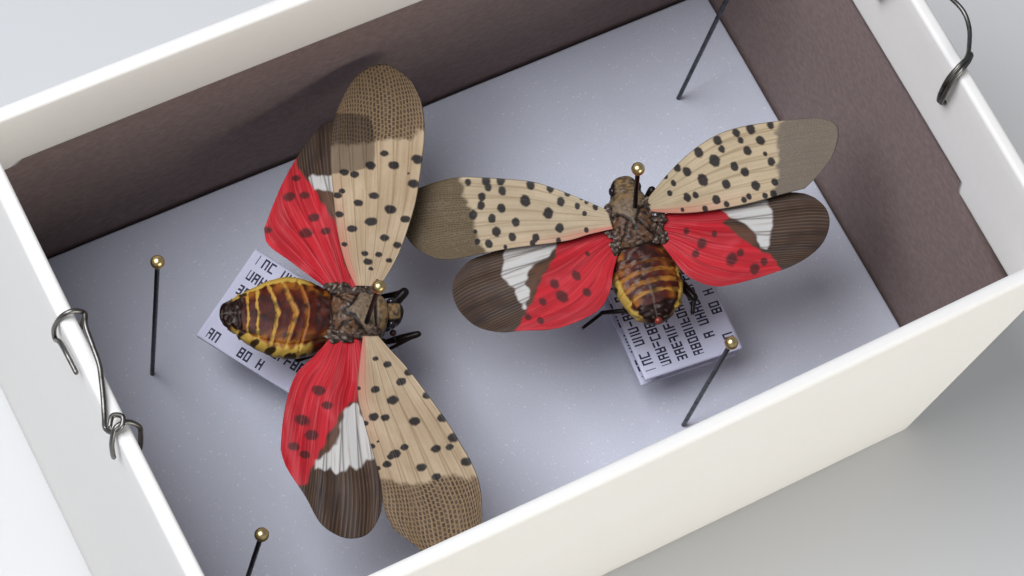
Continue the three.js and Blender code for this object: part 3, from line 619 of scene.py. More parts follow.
def tray():
    """Card tray: a profile from under the floor over the wall and its rim to the floor, carried round.
    Its walls bow outwards towards the rim, most in their middle."""
    quarter = np.linspace(0, math.pi / 2, 6)
    thick, low = WALL + BAND, RIM - BAND_DEPTH
    profile = [(MIDDLE, 0.0), (3, 0.0), (0.5, 0.0), (0.15, 0.1), (0, 0.5)]
    profile += [(0, z) for z in np.linspace(3, RIM - 3, 12)]
    for a in quarter:
        r = RIM_OUTER_ROUND
        profile.append((r - r * math.cos(a), RIM - r + r * math.sin(a)))
    for a in quarter:
        r = RIM_INNER_ROUND
        profile.append((thick - r + r * math.sin(a), RIM - r + r * math.cos(a)))
    profile += [(thick, z) for z in np.linspace(RIM - 2, low + 0.3, 5)]
    profile += [(thick - 0.02, low + 0.06), (thick - 0.1, low), (WALL, low)]
    paper_rows = len(profile) - 1
    profile += [(WALL, z) for z in np.linspace(low - 1, 2.0, 12)]
    profile += [(WALL + 0.2, FLOOR + 0.05), (WALL + 1, FLOOR), (5, FLOOR), (MIDDLE, FLOOR)]
    radii = [CORNER - inset if inset < 2 else 0.1 for inset, _ in profile]
    points = carried(profile, radii, 110, 6)
    x, y, z = np.moveaxis(points, -1, 0)
    deeper = RIGHT_STEP * ((x > RIGHT_STEP_X) & (y < RIGHT_STEP_Y))
    deeper = deeper + LEFT_STEP * ((x < LEFT_STEP_X) & (y > LEFT_STEP_Y))
    points[..., 2] -= deeper * (np.abs(z - low) < 0.4)
    rise = smooth(BOW_FROM, RIM, z)
    bow_y = LONG_BOW * rise * np.clip(1 - (x / HALF_LENGTH) ** 2, 0, 1) * (np.abs(y) > LONG_WALL_Y)
    bow_x = END_BOW * rise * np.clip(1 - (y / HALF_WIDTH) ** 2, 0, 1) * (np.abs(x) > END_WALL_X)
    points[..., :2] += np.stack([np.sign(x) * bow_x, np.sign(y) * bow_y], -1)
    kinds = np.where(np.arange(len(profile) - 1) < paper_rows, 0, 1)
    return patch(points, material=kinds)


def foam_block():
    """Foam floor: a block with a rounded upper edge, its top slightly uneven."""
    profile = [(HALF_WIDTH - 0.1, FOAM_FOOT), (FOAM_GAP + 0.1, FOAM_FOOT), (FOAM_GAP, FOAM_FOOT + 0.2)]
    for a in np.linspace(0, math.pi / 2, 5):
        bent = (FOAM_GAP + FOAM_ROUND * (1 - math.cos(a)), FOAM_TOP - FOAM_ROUND * (1 - math.sin(a)))
        profile.append(bent)
    profile += [(inset, FOAM_TOP) for inset in (2.5, 5, 9, 14, 20, HALF_WIDTH - 0.1)]
    points = carried(profile, [0.4] * len(profile), 60, 3)
    points[..., 2] += 0.08 * noise(points, 14, 5) * (points[..., 2] > FOAM_TOP - 1)
    return patch(points)


piece("tray_card", [tray()], [PAPER, CHIPBOARD], ["case_tray"])
piece("foam_block", [foam_block()], [FOAM], ["foam_floor"])

# Each pin: its place at the foam's top, and at its head's middle
PINS = {
    "pin_main": ((-14.97, 0.24, FOAM_TOP), (-14.97, 0.24, 41.0)),
    "pin_second": ((17.17, -2.79, FOAM_TOP), (13.15, 0.88, 41.0)),
    "pin_left_back": ((-31.7, 9.5, FOAM_TOP), (-32.3, 10.6, 41.0)),
    "pin_left_front": ((-35, -16.3, FOAM_TOP), (-35, -16.3, 41.0)),
    "pin_front": ((15.4, -18, FOAM_TOP), (12.7, -18.2, 41.0)),
    "pin_back": ((33.3, 14.8, FOAM_TOP), (30.06, 13.18, 43.2)),
}
PIN_LENGTH, HEAD_RADIUS = 38.0, 0.65
HEAD_MIDDLE = PIN_LENGTH - HEAD_RADIUS
# Height from the point and radius there: a ground point, the shaft, and the head, which is a ball
SHAFT = [(0, 0), (0.15, 0.02), (1.6, 0.21), (4, 0.235), (PIN_LENGTH - 1.6, 0.235), (PIN_LENGTH - 1.2, 0.2)]
KNOB = [(HEAD_MIDDLE - HEAD_RADIUS * 1.02, 0), (HEAD_MIDDLE - HEAD_RADIUS, 0.22)]
for a in np.linspace(-1.3, math.pi / 2, 18):
    KNOB.append((HEAD_MIDDLE + HEAD_RADIUS * math.sin(a), HEAD_RADIUS * math.cos(a)))


def pin_line(foot, head):
    """Where a pin's point is and which way it runs."""
    along = np.subtract(head, foot) / np.linalg.norm(np.subtract(head, foot))
    return np.array(head) - along * HEAD_MIDDLE, along


for name, ends in PINS.items():
    shaft, knob = lathe(SHAFT, 20, *pin_line(*ends)), lathe(KNOB, 32, *pin_line(*ends))
    knob["material"] = 1
    piece(name + "_looks", [shaft, knob], [PIN_STEEL, BRASS], [name])

# Each label: a corner, which way its rows run in degrees, the height that it lies LABEL_GAP above, and how
# much it curls
LABELS = {
    "label_left": (-27.6, 9.1, -58, 20.0, 0.9),
    "label_right": (22.2, -14.8, 84, 20.0, 0.5),
    "label_right_under": (22.3, -14.7, 84, 17.9, 0.6),
}
LABEL_LENGTH, LABEL_WIDTH, LABEL_THICK, LABEL_GAP = 16.5, 11.0, 0.3, 0.1


def label(corner_x, corner_y, heading, bottom, curl):
    """A card: a thin block, one grid over its top and back beneath, with each end drawn in to half its
    height. It curls up at both ends with the square of the way from its middle, and along one side."""
    x = np.linspace(0, LABEL_LENGTH, 60)
    y = np.linspace(0, LABEL_WIDTH, 36)
    top = np.repeat([1.0, 0.0], len(y))[None]
    x, y = np.concatenate([x[:1], x, x[-1:]])[:, None], np.concatenate([y, y[::-1]])[None]
    share = top + 0 * x
    share[[0, -1]] = 0.5
    lift = curl * (0.25 * (2 * x / LABEL_LENGTH - 1) ** 2 + 0.15 * (y / LABEL_WIDTH) ** 2)
    height = bottom + LABEL_GAP + lift + LABEL_THICK * share
    points = np.stack(np.broadcast_arrays(x, y, height), -1)
    place = np.stack(np.broadcast_arrays(x, LABEL_WIDTH - y, top), -1)
    turned = points @ turn_about_z(heading).T + np.array([corner_x, corner_y, 0])
    return patch(turned, place=place)


for name, where in LABELS.items():
    piece(name + "_looks", [label(*where)], [LABEL_CARD], [name])


# The tie wires, each strand through its bends; where one enters the card, it fills its hole
WIRES = {
    "wire_left": [
        [
            (-44.7, 1.5, 49), (-44.75, 3.2, 49.1), (-44.7, 4.7, 48.4), (-44.7, 5.7, 47),
            (-44.6, 6.1, 48.6), (-43.9, 6.2, 50.3), (-42.9, 6.1, 50.75), (-42, 5.8, 50),
            (-41.95, 5.9, 48), (-42.2, 6.1, 45.6), (-43.2, 6.15, 45),
        ],
        [
            (-42.1, 5.5, 50.5), (-42.5, 4.4, 50.5), (-42.7, 2.6, 50.45), (-42.9, 0.9, 50.4),
            (-43.4, -0.7, 50.4), (-43.9, -2.1, 50.4), (-44.4, -3.4, 50.2), (-44.7, -4.3, 49.8),
            (-44.4, -5, 50.3), (-43.6, -5, 50.9), (-43.2, -4.3, 51), (-43.9, -3.9, 51),
            (-44.5, -4.6, 50.9),
        ],
        [
            (-43.2, -6.15, 45), (-42.2, -6.1, 45.6), (-41.95, -5.6, 48), (-42.1, -5.3, 49.8),
            (-43, -4.8, 50.7), (-44.1, -4.9, 50.7), (-44.7, -5.6, 49.6), (-44.8, -6.1, 48.2),
            (-44.7, -6.2, 47.2),
        ],
    ],
    "wire_right": [
        [
            (45.4, -6.8, 42.8), (44.7, -6.2, 44.7), (42.6, -6.1, 45), (41.9, -5.9, 46.2),
            (41.9, -5.5, 49.2), (42.9, -5.1, 50.6), (44.2, -4.6, 50.5), (45.4, -3.5, 49.9),
            (46.6, -1.8, 49.6), (47.1, 0, 49.5), (46.6, 1.8, 49.6), (45.4, 3.5, 49.9), (44.2, 4.6, 50.5),
            (42.9, 5.1, 50.6), (41.9, 5.5, 49.2), (41.9, 5.9, 46.2), (42.6, 6.1, 45), (44.7, 6.2, 44.7),
        ],
        [
            (43.2, -6.3, 45.2), (42.2, -6.35, 45.5), (41.9, -6.3, 46.6), (41.95, -6, 49.2),
            (42.9, -5.6, 50.6), (44, -5.1, 50.5), (44.9, -4.5, 50.2), (45.1, -4.1, 49.7),
            (44.8, -4.3, 49.2),
        ],
    ],
}
WIRE_RADIUS, WIRE_SIDES = 0.23, 12

for name, strands in WIRES.items():
    cords = [tube(spline(strand, 30 * len(strand)), WIRE_RADIUS, WIRE_SIDES) for strand in strands]
    piece(name + "_looks", cords, [TIE_WIRE], [name])


# Insects: each in its own frame, x forward, y to its left, z up from the height of its back

MAIN = (turn_about_z(-25.8) * 1.008, np.array([-14.506, 1.305, 32.2]))
SECOND = (
    lean(pin_line(*PINS["pin_second"])[1]) @ turn_about_z(76) * 1.004,
    np.array([13.572, -0.827, 33.1]),
)
# The wings' heights at the body, and how far they rise from it: by WING_LIFT over WING_REACH from the root
FORE_TOP, HIND_TOP = -0.35, -1.35
WING_LIFT, WING_ROOT, WING_REACH = 0.5, 3.1, 25.0
# A wing's thickness, and how far from its edge it is as thick as that
WING_THICK, WING_EDGE = 0.14, 0.15

# Each wing: its front edge, outer margin and hind edge, its spots as place and size, and outlines of its
# fields: the net of cells and the painted shade over the hindwing, or the red, white and brown fields
WINGS = {
    "forewing_left": {
        "costa": [
            (1.1, 2.5), (1.8, 3.2), (3.1, 5.5), (4.1, 8.1), (5.1, 11.5), (5.7, 15.1), (6.1, 18.6),
            (5.9, 21.6), (5, 23.9),
        ],
        "margin": [(5, 23.9), (3.7, 25.1), (2.1, 25.7), (0.2, 24.9), (-1.2, 23.2), (-2.3, 20.9)],
        "anal": [
            (-0.9, 2.5), (-1.8, 4.7), (-2.5, 7.8), (-2.9, 11.9), (-3.1, 15.7), (-2.9, 18.9), (-2.3, 20.9),
        ],
        "spots": [
            (2.15, 16.2, 0.85), (0.73, 14.94, 1.05), (3.02, 14.97, 1.15), (5.36, 15.73, 1.25),
            (4.9, 13.16, 1.2), (4.4, 14.21, 0.3), (-1.77, 14.09, 0.95), (-0.84, 13.96, 0.95),
            (-2.07, 12.16, 0.7), (-2.5, 11.68, 0.9), (1.03, 11.77, 1), (-0.48, 10.96, 0.9),
            (2.55, 10.46, 1.2), (0.68, 9.09, 1.2), (3.99, 9.5, 1.0), (-2.34, 9.75, 0.85),
            (-1.14, 8.32, 0.95), (1.95, 7.52, 0.95), (3.16, 6.79, 0.9), (0.05, 5.83, 0.7),
            (0.36, 4.99, 0.9), (1.36, 5.79, 0.75), (2.34, 5.19, 0.65), (-1.89, 6.71, 0.6),
            (0.6, 4.3, 0.5),
        ],
        "net": [
            (-3.4, 16.9), (-2.2, 17.1), (-1.3, 17.1), (-0.1, 17.2), (1, 17.5), (1.9, 17.7), (3.2, 17.9),
            (4.8, 17.9), (5.3, 18.9), (6.6, 19), (6.9, 26.4), (1.2, 27), (-3.6, 22.4),
        ],
        "under": [
            (-3.8, 13.7), (-3.7, 20.1), (-2.2, 20.3), (-0.6, 20.3), (0.7, 20.1), (1.1, 19.1), (1.2, 17.6),
            (1.2, 16), (1, 14.4), (0.3, 14.6), (-0.7, 14.3), (-1.9, 14.1),
        ],
    },
    "hindwing_left": {
        "costa": [(-0.2, 2.5), (0.1, 6), (0.2, 11), (0.9, 14.5), (1.1, 17.1)],
        "margin": [
            (1.1, 17.1), (0.4, 19.1), (-0.9, 20.1), (-3.1, 19.8), (-4.6, 18.5), (-6.1, 16.2),
            (-7.8, 12.8), (-9.4, 8.5),
        ],
        "anal": [(-3.3, 2.5), (-5.1, 3.7), (-6.9, 5.1), (-8.4, 6.2), (-9.2, 7.1), (-9.4, 8.5)],
        "spots": [
            (-6.96, 11.77, 1.2), (-5.52, 12.02, 1), (-4.64, 9.77, 1.1), (-5.43, 8.15, 1.3),
            (-3.54, 8.39, 1), (-6.31, 13.77, 0.8), (-9.11, 8.3, 0.9),
        ],
        "red": [
            (-6.4, 16), (-5.8, 14.3), (-5, 13.4), (-4.4, 12.4), (-3.6, 10.9), (-2.4, 9), (-1.7, 4.9),
            (-0.4, 2.3), (-5.4, 1.5), (-10.8, 5.5), (-10.8, 10.5), (-8.6, 13.1), (-7.3, 15.1),
        ],
        "white": [
            (-5.1, 13.9), (-4.3, 14.2), (-3.1, 14.2), (-1.2, 14.6), (1.5, 14.7), (1.5, 11.6),
            (-1.2, 12.1), (-2.3, 12.3), (-3.7, 12.6), (-4.6, 12.7),
        ],
        "wedge": [
            (-4.4, 12.7), (-3.1, 12.5), (-2.2, 12.1), (-0.6, 9.2), (-1.6, 8.6), (-2.4, 9), (-3.6, 10.9),
        ],
    },
    "forewing_right": {
        "costa": [
            (1.1, -2.5), (2.2, -3.8), (3.8, -5.6), (5.6, -8.1), (7.2, -10.5), (8.4, -12.6), (9.7, -15.1),
            (10.3, -17.2), (10.4, -20),
        ],
        "margin": [
            (10.4, -20), (9.8, -22.3), (8.4, -24), (6.6, -24.4), (5, -23.6), (3.5, -22.4), (2.1, -21.3),
        ],
        "anal": [
            (-0.3, -2.5), (-0.9, -7.8), (-0.4, -10.9), (0.3, -13.6), (1, -16.6), (1.3, -19.4),
            (2.1, -21.3),
        ],
        "spots": [
            (0.84, -4.76, 0.6), (1.95, -5.3, 0.8), (3.96, -6.03, 0.9), (3.2, -6.95, 1),
            (0.75, -7.79, 0.9), (2.35, -8.8, 1.15), (5.64, -8.3, 1), (-0.83, -7.73, 0.5),
            (0.58, -10.49, 1), (1.61, -10.55, 0.9), (-0.28, -11.18, 0.7), (4.39, -10.88, 1.15),
            (7.03, -10.52, 1.1), (7.96, -12.39, 1.2), (0.3, -13.37, 0.7), (2.46, -14.08, 1.1),
            (3.34, -13.4, 0.8), (2.1, -14.35, 0.8), (6.28, -13.52, 1), (7.57, -13.34, 0.8),
            (1.69, -15.11, 0.9), (4.9, -15.34, 1), (9.1, -14.74, 1.15), (6.26, -16.24, 0.9),
            (0.78, -15.53, 0.6), (0.9, -12.9, 0.3),
        ],
        "net": [
            (0.7, -16.6), (1.8, -16.7), (2.9, -17), (3.9, -17.1), (4.9, -17), (5.9, -16.6), (6.6, -16.4),
            (7.7, -16.1), (8.4, -16.2), (9, -16.6), (9.9, -16.2), (10.8, -16.4), (11.9, -18.6),
            (10.8, -25), (4.5, -25.2), (0.6, -19.6),
        ],
    },
    "hindwing_right": {
        "costa": [(-0.4, -2.5), (0.3, -6), (0.2, -8), (0.9, -12), (1.5, -16), (1.2, -19.3)],
        "margin": [
            (1.2, -19.3), (0.7, -20.5), (-0.2, -21.6), (-1.5, -22), (-2.9, -21.7), (-4.4, -20.6),
            (-5.8, -18), (-7.5, -15.2), (-8, -13.5),
        ],
        "anal": [(-3.3, -2.5), (-4.7, -4.2), (-6.4, -6), (-7.3, -8.3), (-7.8, -11), (-8, -13.5)],
        "spots": [
            (-4.44, -7.67, 1.3), (-3.64, -9.15, 1), (-5.95, -10.62, 1.4), (-5.11, -12.06, 1.3),
            (-6.73, -13.25, 1.1), (-5.76, -14.01, 1),
        ],
        "red": [
            (-4, -2.3), (-0.3, -2.4), (-0.3, -5.4), (-0.7, -8.7), (-1.2, -8.7), (-2.2, -9.5),
            (-2.5, -10.1), (-3.3, -11.6), (-4.3, -13.6), (-4.9, -14.9), (-5.3, -15.7), (-5.7, -16.7),
            (-6.9, -17.4), (-9, -15.3), (-9, -12.3), (-8.5, -7.1), (-6.4, -4.2),
        ],
        "white": [
            (-2.1, -9.8), (-1.2, -8.9), (-0.8, -8.9), (0.3, -11.4), (1.6, -13.5), (1.6, -14.1),
            (0.2, -14.4), (-0.1, -14.3), (-0.5, -15.2), (-1.1, -15.4), (-1.4, -15.2), (-1.7, -14.9),
            (-2.2, -15.6), (-2.9, -15.8), (-3.3, -15.4), (-3.4, -15.2), (-4, -15.5), (-4.6, -15.3),
            (-5, -15.5), (-4.7, -14.6), (-3.6, -13.7), (-2.8, -12.9), (-2.5, -11.3),
        ],
        "wedge": [
            (-2.2, -9.3), (-2.1, -9.7), (-2.5, -11.3), (-2.8, -12.8), (-3.6, -13.6), (-4.7, -14.6),
            (-4.9, -15.2), (-4.1, -13.4), (-3.3, -11.6), (-2.5, -10.1),
        ],
    },
    "second_forewing_left": {
        "costa": [(1.2, 2.1), (3, 4.2), (4.6, 6.2), (6.1, 8.5), (7.3, 11.7), (8.3, 15.3), (8.3, 18)],
        "margin": [
            (8.3, 18), (7.9, 20), (6.5, 21.8), (4.9, 22.2), (3.7, 21.9), (2, 21.2), (0.4, 19.6),
            (-0.2, 17.7),
        ],
        "anal": [(-0.8, 2.1), (-0.8, 4.5), (-0.9, 7), (-0.4, 12.5), (-0.3, 15.4), (-0.2, 17.7)],
        "spots": [
            (7.55, 14.55, 0.8), (7.26, 12.8, 1.1), (6.57, 12.75, 0.9), (6.98, 11.39, 1.1),
            (5.88, 11.52, 1), (5.79, 8.68, 1.1), (4.96, 6.91, 1), (4.05, 5.41, 0.8), (3.18, 4.21, 0.6),
            (2.61, 3.89, 0.5), (5.69, 13.61, 1), (4.78, 13.94, 1), (4.18, 9.66, 1.35), (3.28, 6.28, 1),
            (2.42, 4.85, 0.7), (1.5, 4.37, 0.6), (1.86, 3.18, 0.7), (4.04, 12.08, 1.1),
            (3.94, 14.94, 1.05), (3.14, 13.25, 1), (2.23, 11.08, 1), (2.39, 7.8, 1.3), (0.59, 7.12, 1.05),
            (1.65, 13.17, 1.15), (0.74, 11.82, 1), (0.1, 9.64, 1), (-0.42, 10.09, 0.7),
            (-0.71, 7.58, 0.7), (0.56, 14.2, 0.95), (1.07, 15.22, 0.7), (-0.27, 4.66, 0.6),
            (-0.16, 12.74, 0.5), (2.16, 15.16, 0.5),
        ],
        "net": [
            (8.8, 15.5), (7.4, 15.1), (6.3, 15.4), (5.5, 15.2), (3.8, 15), (2.6, 15.2), (1.3, 15.2),
            (0.3, 14.9), (-0.8, 14.5), (-1, 18.1), (2.7, 23), (9, 21.6), (9.2, 18.7),
        ],
    },
    "second_hindwing_left": {
        "costa": [(0.1, 2.1), (0.2, 5), (0, 8), (0.1, 13), (-0.2, 16), (-1, 17.5)],
        "margin": [
            (-1, 17.5), (-2, 18.4), (-3.6, 18.8), (-5.4, 18.5), (-7.1, 17.4), (-8.2, 15.6), (-8.6, 13.5),
            (-9.1, 11.2),
        ],
        "anal": [(-2.9, 2.1), (-4.7, 3.1), (-6.9, 4.1), (-8.5, 5.8), (-9.2, 9.2), (-9.1, 11.2)],
        "spots": [
            (-4.31, 6.73, 1.1), (-6.29, 6.21, 1), (-4.65, 8.98, 1.1), (-6.13, 8.61, 1.4),
            (-6.23, 10.58, 0.9), (-8.1, 11.28, 0.8), (-7.44, 12.36, 0.8), (-2.34, 5.08, 0.6),
        ],
        "red": [
            (-0.3, 0.7), (-0.3, 3.8), (-0.6, 7.2), (-1, 7.9), (-2.2, 8.5), (-3.8, 10), (-4.5, 10.6),
            (-5.5, 11.2), (-6.7, 12.2), (-7.7, 13.1), (-8.7, 13.9), (-10.4, 12.1), (-10.9, 7.7),
            (-7.8, 2.7), (-3.7, 0.9),
        ],
        "white": [
            (0.8, 12.5), (-1, 13.1), (-2.5, 13.7), (-3.5, 13.3), (-4.2, 12.9), (-5.2, 12.9), (-5.8, 12.8),
            (-6.4, 12.4), (-5.7, 11.9), (-4.9, 11.5), (-4.6, 11.6), (-3.9, 11.7), (-3.3, 11.4),
            (-2.6, 11.1), (-2.2, 10.2), (-1.6, 8.8), (-1, 7.9), (0.1, 7.7), (0.8, 10.4),
        ],
        "wedge": [
            (-2.5, 11.2), (-2.3, 9.9), (-2.1, 8.3), (-2.7, 8.9), (-3.6, 10), (-4.4, 10.6), (-5.4, 11.2),
            (-6.2, 11.8), (-6.4, 12.2), (-5.3, 11.7), (-4, 11.6), (-3.3, 10.7),
        ],
    },
    "second_forewing_right": {
        "costa": [
            (1.4, -1.9), (2.3, -3), (3.35, -4.3), (4.65, -6.2), (5.85, -8.5), (6.6, -11.1), (6.7, -14.1),
            (6.3, -17.6), (5.8, -20.5),
        ],
        "margin": [(5.8, -20.5), (4.9, -22), (3.6, -22.1), (1.6, -21), (0, -19.3), (-1.4, -17.1)],
        "anal": [
            (0.1, -1.9), (-0.6, -3.7), (-1.1, -5.9), (-1.4, -8.8), (-1.5, -11.7), (-1.4, -14.7),
            (-1.4, -17.1),
        ],
        "spots": [
            (4.05, -5.7, 1), (3.38, -6.52, 1.1), (3.4, -4.32, 0.7), (2.51, -4.9, 0.7), (1.52, -4.25, 0.7),
            (0.66, -5.78, 1), (0.69, -6.62, 0.8), (2.14, -7.78, 1.4), (3.85, -9.47, 1.4),
            (5.15, -8.22, 1.2), (5.86, -10.34, 1.1), (4.89, -10.5, 0.9), (6.23, -12.37, 1),
            (5.33, -12.56, 0.7), (6.26, -13.87, 1.2), (4.85, -14.45, 1.1), (6.2, -15.87, 0.9),
            (4.03, -12.85, 1.1), (2.75, -11.17, 1), (1.91, -12, 1.05), (3.28, -14.47, 0.6),
            (2.3, -14.81, 1), (1.12, -9.86, 1.1), (-0.29, -8.43, 1.05), (-1.02, -9.28, 0.7),
            (0.23, -12.62, 1.15), (0.08, -14.48, 0.9), (-0.76, -11.63, 0.7), (-1.01, -11.04, 0.7),
            (-1.09, -13.17, 0.7), (-1.16, -13.97, 0.9), (-1, -7.1, 0.8), (-0.53, -4.96, 0.5),
        ],
        "net": [
            (6.9, -17.7), (5.4, -16.3), (4.1, -16), (3, -15.8), (2.2, -15.6), (1.5, -15.2), (0.5, -15.1),
            (-0.6, -14.3), (-1.9, -13.7), (-2.6, -17.2), (-0.2, -22), (5.9, -23.8),
        ],
    },
    "second_hindwing_right": {
        "costa": [(0, -2.1), (-0.2, -5), (-0.5, -7.5), (-0.5, -12), (-0.9, -15.5), (-1.5, -17.2)],
        "margin": [
            (-1.5, -17.2), (-2.3, -18.1), (-3.5, -18.7), (-5.1, -18.6), (-6.8, -17.5), (-8, -15.7),
            (-8.6, -13.7), (-8.9, -10),
        ],
        "anal": [(-2.9, -2.1), (-6.4, -3.3), (-7.8, -4.4), (-8.8, -6), (-9, -7.9), (-8.9, -10)],
        "spots": [
            (-2.43, -4.85, 0.8), (-4.11, -5.93, 1.2), (-4.98, -5.07, 0.9), (-3.4, -7.4, 0.7),
            (-6.43, -8.29, 1.4), (-5.93, -9.33, 0.9), (-7.43, -11.25, 0.9), (-7.92, -10.18, 1.2),
        ],
        "red": [
            (-0.5, -1.1), (0.8, -4.4), (-0.5, -7.3), (-0.8, -8.5), (-1.7, -9.5), (-2.5, -8.7),
            (-3.4, -9.2), (-4.5, -9.8), (-5.4, -10.5), (-6.1, -11.3), (-6.8, -11.9), (-7.6, -12.3),
            (-8.7, -12.6), (-10.3, -10.6), (-10.3, -7.8), (-9.3, -3.9), (-3.8, -0.5),
        ],
        "white": [
            (-0.7, -8.5), (-0.2, -9.7), (0.3, -11), (0.2, -13.2), (-1.4, -13.3), (-2.5, -13.6),
            (-3.9, -13.1), (-4.9, -12.6), (-6, -12.1), (-6.3, -11.9), (-5.9, -11.3), (-5.3, -11.3),
            (-4.6, -11.3), (-4, -11.3), (-3.1, -10.6), (-2.6, -10.1), (-1.9, -9.5),
        ],
        "wedge": [
            (-2.5, -8.5), (-2.8, -9.3), (-3.1, -9.9), (-3.6, -10.6), (-4.1, -11.3), (-5.3, -11.2),
            (-6, -11.3), (-5.6, -10.6), (-4.7, -10), (-3.8, -9.4), (-3.1, -8.9),
        ],
    },
}


# A spot's half length and half width for a size of 1
SPOT_LONG, SPOT_WIDE = 0.38, 0.5


def spotted(spots, flat, along, soft):
    """1 in each oval spot, which is wider across the wing than along it, with a ragged edge."""
    cross = np.array([-along[1], along[0]])
    level = np.concatenate([flat, 0 * flat[..., :1]], -1)
    ragged = 0.12 * noise(level, 0.55, 9) + 0.05 * noise(level, 0.2, 12)
    found = np.zeros(flat.shape[:-1])
    for x, y, scale in spots:
        off = (flat - np.array([x, y])) / scale
        far = np.hypot(off @ along / SPOT_LONG, off @ cross / SPOT_WIDE) + ragged
        found = np.maximum(found, 1 - smooth(1 - soft, 1 + soft, far))
    return found


# Each vein: its share of the way across the wing at the root and at the margin, and where along it begins
FORE_VEINS = [(0.12, 0.12, 0), (0.27, 0.26, 0), (0.42, 0.41, 0), (0.57, 0.55, 0), (0.72, 0.71, 0)]
FORE_VEINS += [(0.88, 0.88, 0), (0.12, 0.18, 0.3), (0.27, 0.335, 0.4), (0.42, 0.48, 0.3)]
FORE_VEINS += [(0.57, 0.63, 0.45), (0.72, 0.79, 0.35)]
HIND_VEINS = [(t, t, 0) for t in (0.08, 0.2, 0.34, 0.48, 0.62, 0.76, 0.9)]
HIND_VEINS += [(t, t + 0.06, 0.4) for t in (0.08, 0.2, 0.34, 0.48, 0.62, 0.76)]
# A vein's width and how far it stands up, in mm
VEIN_WIDTH, VEIN_RISE = 0.07, 0.03
# A hindwing's fields and how softly each of them ends, in mm
ZONES = (("red", 0.16), ("white", 0.14), ("wedge", 0.4))


def wing(form, hind, rows, columns):
    """A wing skin: the sheet between costa (t = 0), anal edge (t = 1) and margin (s = 1), from the sum of
    the straight blends between opposite edges. It goes over the top and back beneath, so that its edges
    are closed. It rises with the square of the way from the body. Ridges stand on the veins and along the
    costa, uneven folds run from root to margin, and near its edges it thins to nothing with the square
    root of the way from them."""
    s, t = np.linspace(0, 1, rows)[:, None], np.linspace(0, 1, columns)[None, :]
    flow, turn = s[..., None], t[..., None]
    costa, anal = spline(form["costa"], rows)[:, None], spline(form["anal"], rows)[:, None]
    margin = spline(form["margin"], columns)[None]
    ends = costa[-1:] * (1 - turn) + anal[-1:] * turn
    flat = costa * (1 - turn) + anal * turn + flow * (margin - ends)
    span = flat[-1, columns // 2] - flat[0, columns // 2]
    length, along = np.linalg.norm(span), span / np.linalg.norm(span)
    width = np.linalg.norm(flat[rows * 2 // 3, 0] - flat[rows * 2 // 3, -1])
    level = np.concatenate([flat, 0 * flat[..., :1]], -1)
    none = 0 * (s + t)
    ridge = none
    for root, end, start in HIND_VEINS if hind else FORE_VEINS:
        share = np.clip((s - start) / (1 - start), 0, 1)
        off = (t - root - (end - root) * share) * width
        ridge = np.maximum(ridge, bell(off, VEIN_WIDTH) * (s >= start))
    folds = np.stack([0.1 * s * length + none, t * width * (0.4 + 0.6 * s), none], -1)
    base, fold, lip = (HIND_TOP, 0.07, 0.03) if hind else (FORE_TOP, 0.035, 0.06)
    top = base + WING_LIFT * ((np.abs(flat[..., 1]) - WING_ROOT) / WING_REACH) ** 2
    top += 0.1 * noise(level, 9, 3)
    top += VEIN_RISE * ridge * (1 - smooth(0.8, 1, s)) + fold * noise(folds, 1.3, 6)
    top += lip * bell(t * width, 0.2)
    edge = np.minimum(np.minimum(t, 1 - t) * width, np.minimum(s, 1 - s) * length)
    thick = WING_THICK * np.sqrt(np.clip(edge / WING_EDGE, 0, 1))
    place = np.stack([s * length + none, t * width + none, ridge], -1)
    if hind:
        layers = [spotted(form["spots"], flat, along, 0.28)]
        for key, soft in ZONES:
            layers.append(smooth(-soft, soft, inside(form[key], flat) + 0.15 * noise(level, 0.8, 14)))
    else:
        dark = np.maximum(spotted(form["spots"], flat, along, 0.16), 0.6 * (1 - smooth(0.05, 0.12, edge)))
        net = smooth(-0.35, 0.2, inside(form["net"], flat) + 0.12 * noise(level, 0.7, 15))
        pink = bell((1 - t) * width - 0.3, 1.1) * bell(s * length, 8)
        # Painted shade where the hindwing lies beneath the forewing
        under = smooth(-0.12, 0.12, inside(form["under"], flat)) if "under" in form else none
        layers = [dark, net, pink, under]
    upper = np.concatenate([flat, top[..., None]], -1)
    lower = np.concatenate([flat, (top - thick)[..., None]], -1)
    points = np.concatenate([upper, lower[:, ::-1]], 1)
    place, mask = (np.concatenate([a, a[:, ::-1]], 1) for a in (place, np.stack(layers, -1)))
    return patch(points, place=place, mask=mask)


FORE_SKINS = {"second_forewing_left": FOREWING_SECOND_LEFT, "second_forewing_right": FOREWING_SECOND_RIGHT}


def wings():
    """The eight wings, each a skin of its own."""
    for name, form in WINGS.items():
        hind, second = "hind" in name, name.startswith("second")
        skin = HINDWING if hind else FORE_SKINS.get(name, FOREWING_MAIN)
        nodes = ["second_lanternfly"] if second else [name]
        skins = [wing(form, hind, 230, 110 if second else 130)]
        piece(name + "_skin", skins, [skin], nodes, SECOND if second else MAIN)


def lines_at(lines, points):
    """1 on the nearest of the lines, each (half width, bends), and 0 away from them."""
    ragged = 0.06 * noise(points, 0.5, 21)
    found = [1 - smooth(0.6 * wide, 1.5 * wide, near(line, points) + ragged) for wide, line in lines]
    return np.max(found, axis=0)


def layered(shape, dark, wax_and_sheen, tint, glow):
    """The four channels of a cuticle's mask."""
    return np.stack([np.broadcast_to(layer, shape) for layer in (dark, wax_and_sheen, tint, glow)], -1)


